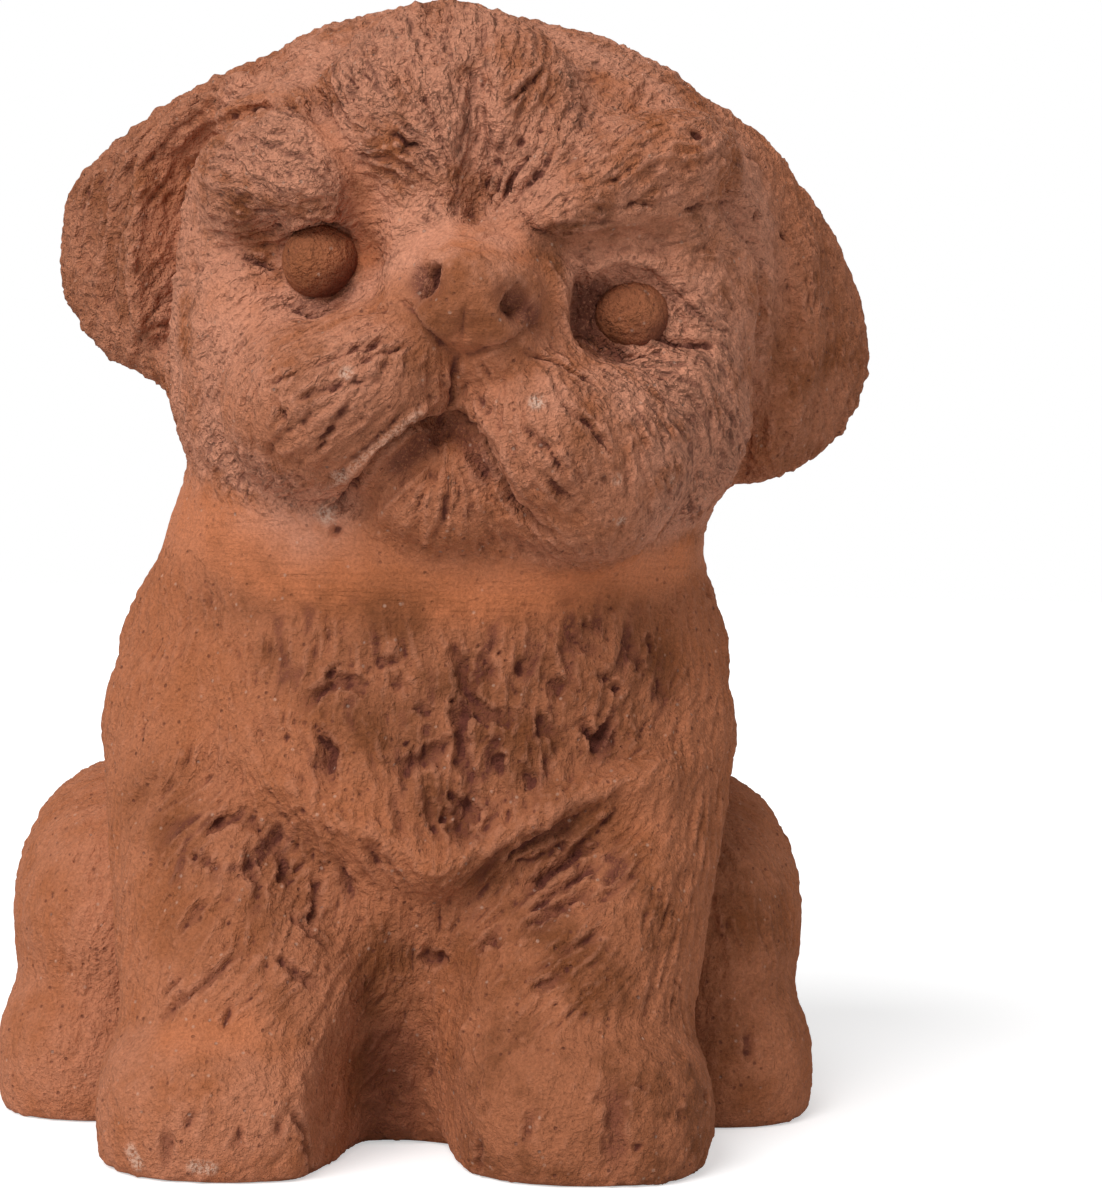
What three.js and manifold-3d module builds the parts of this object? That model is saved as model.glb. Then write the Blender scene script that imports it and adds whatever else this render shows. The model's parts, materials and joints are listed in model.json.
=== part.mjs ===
// Seated terracotta puppy, a hollow garden ornament. Millimetres, +Z up, the dog looks along -Y.
// It is built as a potter builds it: a hollow torso and a hollow head, luted together with a coil of clay
// at the neck, and solid lumps of the same clay pressed on for the face, the ears, the limbs and the tail.
// Left and right are the dog's own: its left side is at +X.

import * as THREE from "three";
import { mergeVertices } from "three/addons/utils/BufferGeometryUtils.js";
import Module from "manifold-3d";

const wasm = await Module();
wasm.setup();

// Driving dimensions

const SEAM_GAP = 0.3; // left between two pieces at a luted joint
const WALL = 14; // clay wall of the hollow torso and head

// Torso: oval sections from the floor to the neck
const BELLY_HEIGHT = 38; // from the floor up to the belly's section
const CHEST_RISE = 46; // from the belly up to the chest
const SHOULDER_RISE = 28; // from the chest up to the shoulders
const NECK_RISE = 24; // from the shoulders up to the neck
const BASE_WIDTH = 112;
const BASE_DEPTH = 122;
const BELLY_WIDTH = 124;
const BELLY_DEPTH = 130;
const CHEST_WIDTH = 132;
const CHEST_DEPTH = 120;
const SHOULDER_WIDTH = 133;
const SHOULDER_DEPTH = 98;
const NECK_WIDTH = 103;
const NECK_DEPTH = 78;
const RUMP_SET_BACK = 18; // the base sits behind the chest
const BELLY_SET_BACK = 10;
const CHEST_SET_FORWARD = 4;
const SHOULDER_SET_FORWARD = 7;
const NECK_SET_FORWARD = 10;
const CHEST_SIDE_OFFSET = 1.5; // the body leans towards the dog's left as it rises
const SHOULDER_SIDE_OFFSET = 3;
const NECK_SIDE_OFFSET = 5;

// Neck coil
const COIL_OVERLAP = 6.5; // it is thicker than the step from the neck out to the jaw
const COIL_SIDE_INSET = 7; // its ring lies inside the torso at the sides
const COIL_FRONT_INSET = 4; // and less at the front and back
const COIL_SINK = 8; // its centre lies below the torso's top
const COIL_PITCH = 4; // degrees, lower in front
const COIL_ROLL = 3; // degrees, a third of the head's

// Head
const HEAD_WIDTH = 131;
const HEAD_DEPTH = 112;
const CROWN_HEIGHT = 62; // above the eye line
const JAW_DROP = 70; // below the eye line
const HEAD_SQUARENESS = 2.5; // 2 is an ellipsoid, more is boxier
const EYE_LINE_RISE = 42; // above the head's pivot
const HEAD_ROLL = 9; // degrees, towards the dog's left
const HEAD_PIVOT_RISE = 4; // the pivot lies above the torso's top

// Eyes: balls in dished sockets
const EYEBALL_DIAMETER = 16;
const EYEBALL_SINK = 4; // its centre lies below the head's surface
const EYE_AZIMUTH = 31; // degrees from straight ahead
const EYE_ELEVATION = -1;
const SOCKET_WIDTH = 28;
const SOCKET_HEIGHT = 23;
const SOCKET_DEPTH = 18;

// Face: lumps pressed on to the head. Azimuth, elevation and roll are in degrees, azimuth towards the dog's
// left; sink is how far a lump's centre lies below the head's surface.
const FORELOCK_WIDTH = 56;
const FORELOCK_DEPTH = 30;
const FORELOCK_HEIGHT = 54;
const BROW_DEPTH = 26;
const BROW_SINK = 8; // the forelock's too
const RIGHT_BROW_WIDTH = 48;
const RIGHT_BROW_HEIGHT = 34;
const LEFT_BROW_WIDTH = 54;
const LEFT_BROW_HEIGHT = 27;
const FLEW_WIDTH = 52;
const FLEW_DEPTH = 46;
const FLEW_SINK = 7;
const RIGHT_FLEW_HEIGHT = 38;
const LEFT_FLEW_HEIGHT = 42;
const NOSE_WIDTH = 28;
const NOSE_DEPTH = 34;
const NOSE_HEIGHT = 25;
const NOSE_STANDOFF = 2; // its centre lies outside the head's surface
const CHIN_WIDTH = 36;
const CHIN_DEPTH = 36;
const CHIN_HEIGHT = 32;
const CHIN_SINK = 7;
const FACE_LUMP_SQUARENESS = 2.2;
const NOSTRIL_DIAMETER = 5;
const NOSTRIL_SPACING = 18.5;
const NOSTRIL_DEPTH = 7;
const NOSTRIL_RISE = 3; // above the nose's middle
const NOSTRIL_SET_BACK = 4; // the nostril's mouth lies behind the nose's tip

// Ears: flaps swept back from the sides of the head
const EAR_ROOT_SINK = 20; // the flap's centre lies inside the head
const EAR_THICKNESS = 24;
const EAR_SWEEP = 32; // degrees, backwards
const EAR_EDGE_SQUARENESS = 2.4;
const RIGHT_EAR_REACH = 29; // how far the tip stands out from the head
const RIGHT_EAR_TIP_RISE = 9; // the tip's height above the eye line
const RIGHT_EAR_RISE = 39; // from the tip up to the top of the flap
const RIGHT_EAR_DROP = 40; // from the tip down to the end of the flap
const LEFT_EAR_REACH = 26;
const LEFT_EAR_TIP_RISE = 3;
const LEFT_EAR_RISE = 48;
const LEFT_EAR_DROP = 35;

// Forelimbs
const SHOULDER_JOINT_HEIGHT = 88;
const SHOULDER_JOINT_INSET = 24; // the leg's axis lies inside the torso's side
const SHOULDER_JOINT_FORWARD = 14; // and in front of the torso's middle
const FORELEG_SHOULDER_DIAMETER = 54;
const FORELEG_WRIST_DIAMETER = 55;
const FORELEG_SPREAD = 65; // between the two wrists
const WRIST_HEIGHT = 28;
const WRIST_SET_BACK = 6; // behind the paw's middle
const FOREPAW_SPREAD = 72; // between the two paws' middles
const FOREPAW_WIDTH = 56;
const FOREPAW_LENGTH = 62;
const FOREPAW_REACH = 55; // from the chest's middle forwards to the paw's middle
const FOREPAW_CROWN = 23; // from a paw's widest level up to its top
const PAW_WIDEST_HEIGHT = 10; // the widest level of every paw
const FOREPAW_SQUARENESS = 2.5;

// Hind limbs
const HAUNCH_THICKNESS = 56;
const HAUNCH_LENGTH = 92;
const HAUNCH_HEIGHT = 62;
const HAUNCH_CENTRE_HEIGHT = 43;
const HAUNCH_SET_BACK = 15; // behind the belly's middle
const HAUNCH_PITCH = 14; // degrees, hip up and knee down
const HAUNCH_SQUARENESS = 2.3;
const HIND_PAW_WIDTH = 46;
const HIND_PAW_LENGTH = 60;
const HIND_PAW_CROWN = 24;
const HIND_PAW_OUTSET = 6.5; // the paw's middle lies outside the torso's side
const HIND_PAW_SET_FORWARD = 3; // and in front of the belly's middle
const HIND_PAW_SQUARENESS = 2.4;

// Tail: a short one that lies round the rump
const TAIL_LENGTH = 56;
const TAIL_ROOT_DIAMETER = 24;
const TAIL_TIP_DIAMETER = 13;
const TAIL_STANDOFF = 5; // its axis lies outside the rump
const TAIL_ROOT_HEIGHT = 9.5;
const TAIL_TIP_HEIGHT = 5;

// The clay's colour, rough and as wiped smooth with a wet finger
const CLAY_COLOUR = 0xa8633f;
const WIPED_CLAY_COLOUR = 0x965838;
const CLAY_ROUGHNESS = 0.95;

// Geometry helpers

const radians = THREE.MathUtils.degToRad;

// Keeps only the merged positions of a geometry, as a closed mesh needs.
function closed(geometry) {
  const bare = geometry.clone();
  bare.deleteAttribute("normal");
  bare.deleteAttribute("uv");
  return mergeVertices(bare, 1e-3);
}

function solidOf(geometry) {
  const mesh = closed(geometry);
  const vertProperties = new Float32Array(mesh.attributes.position.array);
  const triVerts = new Uint32Array(mesh.index.array);
  return new wasm.Manifold(new wasm.Mesh({ numProp: 3, vertProperties, triVerts }));
}

function geometryOf(solid) {
  const mesh = solid.getMesh();
  const geometry = new THREE.BufferGeometry();
  geometry.setAttribute("position", new THREE.BufferAttribute(mesh.vertProperties, 3));
  geometry.setIndex(new THREE.BufferAttribute(mesh.triVerts, 1));
  geometry.computeVertexNormals();
  return geometry;
}

// The same form, larger by the seam gap all round: what cuts a seat into a neighbour.
function grown(geometry) {
  const mesh = closed(geometry);
  mesh.computeVertexNormals();
  const { position, normal } = mesh.attributes;
  for (let i = 0; i < position.count; i++) {
    position.setXYZ(
      i,
      position.getX(i) + SEAM_GAP * normal.getX(i),
      position.getY(i) + SEAM_GAP * normal.getY(i),
      position.getZ(i) + SEAM_GAP * normal.getZ(i),
    );
  }
  return mesh;
}

const cutterOf = (geometry) => solidOf(grown(geometry));

// Moves every vertex of a geometry by a function of its position.
function reshaped(geometry, move) {
  const mesh = closed(geometry);
  const { position } = mesh.attributes;
  const point = new THREE.Vector3();
  for (let i = 0; i < position.count; i++) {
    point.fromBufferAttribute(position, i);
    const moved = move(point);
    position.setXYZ(i, moved.x, moved.y, moved.z);
  }
  return mesh;
}

// A point on a rounded box in a given direction: squareness 2 gives an ellipsoid.
function roundedPoint(direction, halfSizes, squareness) {
  const sum =
    Math.abs(direction.x) ** squareness +
    Math.abs(direction.y) ** squareness +
    Math.abs(direction.z) ** squareness;
  return direction.clone().multiplyScalar(sum ** (-1 / squareness)).multiply(halfSizes);
}

// A pressed lump of clay: a rounded form with its three full sizes.
function lump(width, depth, height, detail, squareness = 2) {
  const halfSizes = new THREE.Vector3(width / 2, depth / 2, height / 2);
  return reshaped(new THREE.IcosahedronGeometry(1, detail), (p) => roundedPoint(p, halfSizes, squareness));
}

function placed(geometry, position, rotation = new THREE.Euler()) {
  const turn = new THREE.Quaternion().setFromEuler(rotation);
  const matrix = new THREE.Matrix4().compose(position, turn, new THREE.Vector3(1, 1, 1));
  return geometry.clone().applyMatrix4(matrix);
}

// A tapered roll with round ends, from one point to another.
function roll(start, startDiameter, end, endDiameter, sides, rings) {
  const length = start.distanceTo(end);
  const startRadius = startDiameter / 2;
  const endRadius = endDiameter / 2;
  const profile = new THREE.Path();
  profile.absarc(0, 0, startRadius, -Math.PI / 2, 0, false);
  for (let i = 1; i <= rings; i++) {
    profile.lineTo(THREE.MathUtils.lerp(startRadius, endRadius, i / rings), (length * i) / rings);
  }
  profile.absarc(0, length, endRadius, 0, Math.PI / 2, false);
  const points = profile.getPoints(5);
  points[0].x = 0;
  points[points.length - 1].x = 0;
  const along = new THREE.Vector3().subVectors(end, start).normalize();
  const turn = new THREE.Quaternion().setFromUnitVectors(new THREE.Vector3(0, 1, 0), along);
  const matrix = new THREE.Matrix4().compose(start, turn, new THREE.Vector3(1, 1, 1));
  return new THREE.LatheGeometry(points, sides).applyMatrix4(matrix);
}

// Cuts the seats of its neighbours into a piece, and keeps the one body that is left outside them.
function seated(geometry, ...cutters) {
  let solid = solidOf(geometry);
  for (const cutter of cutters) {
    solid = solid.subtract(cutter);
  }
  const bodies = solid.decompose();
  bodies.sort((a, b) => b.volume() - a.volume());
  return bodies[0];
}

function addPiece(group, name, solid, color = CLAY_COLOUR) {
  const clay = new THREE.MeshStandardMaterial({ color, roughness: CLAY_ROUGHNESS, metalness: 0 });
  const mesh = new THREE.Mesh(geometryOf(solid), clay);
  mesh.name = name;
  group.add(mesh);
}

const figure = new THREE.Group();

// Torso: a loft through its sections, hollow from the floor up into the head

const chestHeight = BELLY_HEIGHT + CHEST_RISE;
const shoulderHeight = chestHeight + SHOULDER_RISE;
const torsoHeight = shoulderHeight + NECK_RISE;
const torsoHeights = [0, BELLY_HEIGHT, chestHeight, shoulderHeight, torsoHeight];
// Half width, half depth, set-back and lean at each height
const torsoSections = [
  [BASE_WIDTH / 2, BASE_DEPTH / 2, RUMP_SET_BACK, 0],
  [BELLY_WIDTH / 2, BELLY_DEPTH / 2, BELLY_SET_BACK, 0],
  [CHEST_WIDTH / 2, CHEST_DEPTH / 2, -CHEST_SET_FORWARD, CHEST_SIDE_OFFSET],
  [SHOULDER_WIDTH / 2, SHOULDER_DEPTH / 2, -SHOULDER_SET_FORWARD, SHOULDER_SIDE_OFFSET],
  [NECK_WIDTH / 2, NECK_DEPTH / 2, -NECK_SET_FORWARD, NECK_SIDE_OFFSET],
];
const torsoLoft = new THREE.CubicInterpolant(torsoHeights, torsoSections.flat(), 4);

function torsoSection(height) {
  const level = THREE.MathUtils.clamp(height, 0, torsoHeight);
  const [halfWidth, halfDepth, setBack, lean] = torsoLoft.evaluate(level);
  return { halfWidth, halfDepth, setBack, lean };
}

// The loft between two heights, taken in by an inset all round.
function torsoForm(bottom, top, inset, sides, steps) {
  const profile = [new THREE.Vector2(0, bottom)];
  for (let i = 0; i <= steps; i++) {
    profile.push(new THREE.Vector2(1, THREE.MathUtils.lerp(bottom, top, i / steps)));
  }
  profile.push(new THREE.Vector2(0, top));
  const drum = new THREE.LatheGeometry(profile, sides).rotateX(Math.PI / 2);
  return reshaped(drum, (p) => {
    const { halfWidth, halfDepth, setBack, lean } = torsoSection(p.z);
    return new THREE.Vector3(p.x * (halfWidth - inset) + lean, p.y * (halfDepth - inset) + setBack, p.z);
  });
}

const neckTop = new THREE.Vector3(NECK_SIDE_OFFSET, -NECK_SET_FORWARD, torsoHeight);
const torsoOuter = torsoForm(0, torsoHeight, 0, 32, 9);
const torsoHollow = torsoForm(-WALL, torsoHeight + WALL, WALL, 20, 6);
const torsoCutter = cutterOf(torsoOuter);
addPiece(figure, "torso_shell", solidOf(torsoOuter).subtract(solidOf(torsoHollow)));

// Everything below the floor, to cut the feet flat
const floorBlock = 4 * torsoHeight;
const floorCutter = solidOf(
  placed(new THREE.BoxGeometry(floorBlock, floorBlock, floorBlock), new THREE.Vector3(0, 0, -floorBlock / 2)),
);

// Head frame: the head is rolled about a pivot in the neck

const head = new THREE.Group();
head.position.copy(neckTop);
head.position.z += HEAD_PIVOT_RISE;
head.rotation.y = radians(HEAD_ROLL);
head.updateMatrix();
figure.add(head);
const bodyToHead = head.matrix.clone().invert();
const inHeadFrame = (geometry) => geometry.clone().applyMatrix4(bodyToHead);

const eyeLineMiddle = new THREE.Vector3(0, 0, EYE_LINE_RISE);

// A point of the head's surface in a direction from the middle of the eye line, taken in by an inset.
function headSurface(direction, inset = 0) {
  const vertical = direction.z > 0 ? CROWN_HEIGHT : JAW_DROP;
  const halfSizes = new THREE.Vector3(HEAD_WIDTH / 2 - inset, HEAD_DEPTH / 2 - inset, vertical - inset);
  return roundedPoint(direction, halfSizes, HEAD_SQUARENESS).add(eyeLineMiddle);
}

function headForm(inset, detail) {
  return reshaped(new THREE.IcosahedronGeometry(1, detail), (p) => headSurface(p, inset));
}

// A place on the head at an azimuth and an elevation, sunk below the surface.
function onHead(azimuth, elevation, sink) {
  const polar = Math.PI / 2 - radians(elevation);
  const direction = new THREE.Vector3().setFromSphericalCoords(1, polar, radians(azimuth));
  direction.set(direction.x, -direction.z, direction.y);
  return headSurface(direction).addScaledVector(direction, -sink);
}

const headOuter = headForm(0, 6);
const headCutter = cutterOf(headOuter);
const torsoCutterInHead = solidOf(inHeadFrame(grown(torsoOuter)));

// Head shell with its eyes

let headShell = solidOf(headOuter).subtract(torsoCutterInHead).subtract(solidOf(headForm(WALL, 3)));
const eyeCutters = [];
for (const [name, side] of [
  ["right_eyeball", -1],
  ["left_eyeball", 1],
]) {
  const ball = placed(
    lump(EYEBALL_DIAMETER, EYEBALL_DIAMETER, EYEBALL_DIAMETER, 3),
    onHead(side * EYE_AZIMUTH, EYE_ELEVATION, EYEBALL_SINK),
  );
  const socket = placed(
    lump(SOCKET_WIDTH, SOCKET_DEPTH, SOCKET_HEIGHT, 3),
    onHead(side * EYE_AZIMUTH, EYE_ELEVATION, 0),
    new THREE.Euler(0, 0, radians(side * EYE_AZIMUTH)),
  );
  const eyeCutter = cutterOf(ball);
  eyeCutters.push(eyeCutter);
  headShell = headShell.subtract(solidOf(socket)).subtract(eyeCutter);
  addPiece(head, name, solidOf(ball), WIPED_CLAY_COLOUR);
}
addPiece(head, "head_shell", headShell);

// Neck coil: the ring of clay that fills the joint between torso and head

const collarHeight = torsoHeight - COIL_SINK;
const collar = torsoSection(collarHeight);
const jawStep = (HEAD_WIDTH - NECK_WIDTH) / 2;
const coilThickness = jawStep + COIL_OVERLAP;
const coilRing = reshaped(new THREE.TorusGeometry(1, 0.5, 8, 28), (p) => {
  const around = Math.atan2(p.y, p.x);
  const outward = (Math.hypot(p.x, p.y) - 1) * coilThickness;
  return new THREE.Vector3(
    (collar.halfWidth - COIL_SIDE_INSET + outward) * Math.cos(around),
    (collar.halfDepth - COIL_FRONT_INSET + outward) * Math.sin(around),
    p.z * coilThickness,
  );
});
const neckCoil = placed(
  coilRing,
  new THREE.Vector3(collar.lean, collar.setBack, collarHeight),
  new THREE.Euler(radians(COIL_PITCH), radians(COIL_ROLL), 0),
);
const coilCutter = cutterOf(neckCoil);
const headCutterInBody = solidOf(grown(headOuter).applyMatrix4(head.matrix));
addPiece(figure, "neck_coil", seated(neckCoil, torsoCutter, headCutterInBody), WIPED_CLAY_COLOUR);

// Face: each lump is cut to the head, the coil and the lumps that were laid before it

const FOREHEAD_LUMPS = [
  {
    name: "forelock",
    sizes: [FORELOCK_WIDTH, FORELOCK_DEPTH, FORELOCK_HEIGHT],
    azimuth: -12,
    elevation: 32,
    sink: BROW_SINK,
    roll: 0,
  },
  {
    name: "right_brow",
    sizes: [RIGHT_BROW_WIDTH, BROW_DEPTH, RIGHT_BROW_HEIGHT],
    azimuth: -46,
    elevation: 15,
    sink: BROW_SINK,
    roll: 18,
  },
  {
    name: "left_brow",
    sizes: [LEFT_BROW_WIDTH, BROW_DEPTH, LEFT_BROW_HEIGHT],
    azimuth: 30,
    elevation: 26,
    sink: BROW_SINK,
    roll: -28,
  },
];
const FLEW_LUMPS = [
  {
    name: "right_flew",
    sizes: [FLEW_WIDTH, FLEW_DEPTH, RIGHT_FLEW_HEIGHT],
    azimuth: -22,
    elevation: -24,
    sink: FLEW_SINK,
    roll: -28,
  },
  {
    name: "left_flew",
    sizes: [FLEW_WIDTH, FLEW_DEPTH, LEFT_FLEW_HEIGHT],
    azimuth: 24,
    elevation: -26,
    sink: FLEW_SINK,
    roll: 35,
  },
];
const NOSE = {
  name: "nose_pad",
  sizes: [NOSE_WIDTH, NOSE_DEPTH, NOSE_HEIGHT],
  azimuth: 0,
  elevation: -3,
  sink: -NOSE_STANDOFF,
  roll: 0,
};
const CHIN = {
  name: "chin",
  sizes: [CHIN_WIDTH, CHIN_DEPTH, CHIN_HEIGHT],
  azimuth: 1,
  elevation: -37,
  sink: CHIN_SINK,
  roll: 0,
};

const coilCutterInHead = solidOf(inHeadFrame(grown(neckCoil)));
const laidBefore = [headCutter, torsoCutterInHead, coilCutterInHead, ...eyeCutters];

function layOnHead(form) {
  const piece = seated(form, ...laidBefore);
  laidBefore.push(cutterOf(form));
  return piece;
}

function faceLump(piece) {
  const [width, depth, height] = piece.sizes;
  return placed(
    lump(width, depth, height, 4, FACE_LUMP_SQUARENESS),
    onHead(piece.azimuth, piece.elevation, piece.sink),
    new THREE.Euler(0, radians(piece.roll), radians(piece.azimuth), "ZYX"),
  );
}

for (const piece of [...FOREHEAD_LUMPS, ...FLEW_LUMPS]) {
  addPiece(head, piece.name, layOnHead(faceLump(piece)));
}

let nosePad = layOnHead(faceLump(NOSE));
for (const side of [-1, 1]) {
  const mouth = onHead(NOSE.azimuth, NOSE.elevation, NOSE.sink);
  mouth.x += (side * NOSTRIL_SPACING) / 2;
  mouth.y -= NOSE_DEPTH / 2 - NOSTRIL_SET_BACK;
  mouth.z += NOSTRIL_RISE;
  const nostril = placed(lump(NOSTRIL_DIAMETER, 2 * NOSTRIL_DEPTH, NOSTRIL_DIAMETER, 2), mouth);
  nosePad = nosePad.subtract(solidOf(nostril));
}
addPiece(head, NOSE.name, nosePad, WIPED_CLAY_COLOUR);
addPiece(head, CHIN.name, layOnHead(faceLump(CHIN)));

// Ears: a flat lump, straighter along its upper edge, fuller along its lower one, and swept back

const EARS = [
  {
    name: "right_ear",
    side: -1,
    reach: RIGHT_EAR_REACH,
    tipRise: RIGHT_EAR_TIP_RISE,
    rise: RIGHT_EAR_RISE,
    drop: RIGHT_EAR_DROP,
    upperSquareness: 1.25,
    lowerSquareness: 2.7,
  },
  {
    name: "left_ear",
    side: 1,
    reach: LEFT_EAR_REACH,
    tipRise: LEFT_EAR_TIP_RISE,
    rise: LEFT_EAR_RISE,
    drop: LEFT_EAR_DROP,
    upperSquareness: 1.45,
    lowerSquareness: 2.2,
  },
];

function earForm(ear) {
  const root = HEAD_WIDTH / 2 - EAR_ROOT_SINK;
  const halfWidth = ear.reach + EAR_ROOT_SINK;
  const sweep = Math.tan(radians(EAR_SWEEP));
  const section = new THREE.Vector3(1, EAR_THICKNESS / 2, 1);
  return reshaped(new THREE.IcosahedronGeometry(1, 5), (p) => {
    const spread = Math.hypot(p.x, p.z);
    const edge = roundedPoint(new THREE.Vector3(spread, p.y, 0), section, EAR_EDGE_SQUARENESS);
    const halfHeight = p.z > 0 ? ear.rise : ear.drop;
    const squareness = p.z > 0 ? ear.upperSquareness : ear.lowerSquareness;
    const sum = (Math.abs(p.x) / halfWidth) ** squareness + (Math.abs(p.z) / halfHeight) ** squareness;
    const scale = edge.x * Math.max(sum, Number.EPSILON) ** (-1 / squareness);
    const outward = scale * p.x;
    return new THREE.Vector3(
      ear.side * (root + outward),
      ear.side * edge.y + sweep * (outward - EAR_ROOT_SINK),
      EYE_LINE_RISE + ear.tipRise + scale * p.z,
    );
  });
}

for (const ear of EARS) {
  addPiece(head, ear.name, layOnHead(earForm(ear)));
}

// Limbs, the same on both sides

const shoulder = torsoSection(SHOULDER_JOINT_HEIGHT);
const hip = torsoSection(HAUNCH_CENTRE_HEIGHT);
const haunchCutters = [];
for (const [sideName, side] of [
  ["right", -1],
  ["left", 1],
]) {
  const foreleg = roll(
    new THREE.Vector3(
      shoulder.lean + side * (shoulder.halfWidth - SHOULDER_JOINT_INSET),
      shoulder.setBack - SHOULDER_JOINT_FORWARD,
      SHOULDER_JOINT_HEIGHT,
    ),
    FORELEG_SHOULDER_DIAMETER,
    new THREE.Vector3((side * FORELEG_SPREAD) / 2, WRIST_SET_BACK - FOREPAW_REACH, WRIST_HEIGHT),
    FORELEG_WRIST_DIAMETER,
    18,
    1,
  );
  const forelegCutter = cutterOf(foreleg);
  addPiece(figure, `${sideName}_foreleg`, seated(foreleg, torsoCutter, coilCutter, floorCutter));

  const forepaw = placed(
    lump(FOREPAW_WIDTH, FOREPAW_LENGTH, 2 * FOREPAW_CROWN, 4, FOREPAW_SQUARENESS),
    new THREE.Vector3((side * FOREPAW_SPREAD) / 2, -FOREPAW_REACH, PAW_WIDEST_HEIGHT),
  );
  const forepawCutter = cutterOf(forepaw);
  addPiece(figure, `${sideName}_forepaw`, seated(forepaw, forelegCutter, torsoCutter, floorCutter));

  const haunch = placed(
    lump(HAUNCH_THICKNESS, HAUNCH_LENGTH, HAUNCH_HEIGHT, 4, HAUNCH_SQUARENESS),
    new THREE.Vector3(side * hip.halfWidth, hip.setBack + HAUNCH_SET_BACK, HAUNCH_CENTRE_HEIGHT),
    new THREE.Euler(radians(HAUNCH_PITCH), 0, 0),
  );
  const haunchCutter = cutterOf(haunch);
  haunchCutters.push(haunchCutter);
  const haunchPiece = seated(haunch, torsoCutter, forelegCutter, forepawCutter, floorCutter);
  addPiece(figure, `${sideName}_haunch`, haunchPiece);

  const hindPaw = placed(
    lump(HIND_PAW_WIDTH, HIND_PAW_LENGTH, 2 * HIND_PAW_CROWN, 4, HIND_PAW_SQUARENESS),
    new THREE.Vector3(
      side * (hip.halfWidth + HIND_PAW_OUTSET),
      hip.setBack - HIND_PAW_SET_FORWARD,
      PAW_WIDEST_HEIGHT,
    ),
  );
  const hindPawPiece = seated(hindPaw, haunchCutter, torsoCutter, forelegCutter, forepawCutter, floorCutter);
  addPiece(figure, `${sideName}_hind_paw`, hindPawPiece);
}

// Tail: a tapered roll, bent round the rump towards the dog's left

const rump = torsoSection(0);
const tailRoll = roll(
  new THREE.Vector3(0, 0, 0),
  TAIL_ROOT_DIAMETER,
  new THREE.Vector3(TAIL_LENGTH, 0, 0),
  TAIL_TIP_DIAMETER,
  12,
  6,
);
const tail = reshaped(tailRoll, (p) => {
  const reach = rump.halfDepth + TAIL_STANDOFF + p.y;
  const angle = p.x / rump.halfDepth;
  const height = THREE.MathUtils.lerp(TAIL_ROOT_HEIGHT, TAIL_TIP_HEIGHT, p.x / TAIL_LENGTH);
  return new THREE.Vector3(reach * Math.sin(angle), rump.setBack + reach * Math.cos(angle), height + p.z);
});
addPiece(figure, "tail", seated(tail, torsoCutter, ...haunchCutters, floorCutter));

// The origin is the middle of the figure's box, on the floor

figure.updateMatrixWorld(true);
const middle = new THREE.Box3().setFromObject(figure, true).getCenter(new THREE.Vector3());
figure.position.set(-middle.x, -middle.y, 0);

const part = new THREE.Group();
part.add(figure);

export default part;
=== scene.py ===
"""The terracotta puppy, dressed: its lumps of clay joined, tooled as one body and parted into its pieces."""

import json
import math
import random
from collections import namedtuple

import bmesh
import bpy
import numpy as np
from mathutils import Matrix, Vector, kdtree, noise
from mathutils.bvhtree import BVHTree

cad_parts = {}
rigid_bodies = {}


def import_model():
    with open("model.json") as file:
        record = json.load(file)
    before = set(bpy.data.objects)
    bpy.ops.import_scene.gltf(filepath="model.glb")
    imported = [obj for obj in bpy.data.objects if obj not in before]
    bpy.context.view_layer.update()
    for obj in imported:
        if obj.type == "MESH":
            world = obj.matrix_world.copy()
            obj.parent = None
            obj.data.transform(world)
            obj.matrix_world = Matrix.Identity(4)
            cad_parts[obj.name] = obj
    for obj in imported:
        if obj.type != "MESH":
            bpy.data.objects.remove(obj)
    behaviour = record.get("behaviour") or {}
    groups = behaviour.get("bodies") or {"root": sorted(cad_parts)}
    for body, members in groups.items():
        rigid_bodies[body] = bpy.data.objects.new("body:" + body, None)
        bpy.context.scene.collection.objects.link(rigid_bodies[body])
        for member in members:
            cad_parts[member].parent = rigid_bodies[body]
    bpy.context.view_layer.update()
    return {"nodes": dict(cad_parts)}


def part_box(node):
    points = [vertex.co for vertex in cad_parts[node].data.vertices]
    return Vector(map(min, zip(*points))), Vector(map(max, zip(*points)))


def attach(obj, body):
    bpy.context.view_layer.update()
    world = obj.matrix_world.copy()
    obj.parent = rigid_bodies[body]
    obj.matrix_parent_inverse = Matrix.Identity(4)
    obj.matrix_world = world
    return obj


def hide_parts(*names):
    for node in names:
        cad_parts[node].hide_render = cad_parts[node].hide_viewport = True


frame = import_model()

bl_info = {
    "name": "Terracotta puppy",
    "version": (1, 0, 0),
    "blender": (4, 5, 0),
    "location": "View3D > Sidebar > Puppy",
    "description": "Joins the puppy's lumps of clay, tools its fur and face, and finishes it as terracotta",
    "category": "Object",
}

MM = 0.001

# The photograph's frame and the place it was taken from
PHOTO_WIDTH = 1102
PHOTO_HEIGHT = 1200
PHOTO_FOCAL_PIXELS = 3189
PHOTO_ROLL = math.radians(1.1)
PHOTO_EYE = Vector((-5.19, -725.03, 138.0)) * MM
PHOTO_TARGET = Vector((25.51, -5.03, 115.4)) * MM
SENSOR_HEIGHT = 36.0

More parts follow.
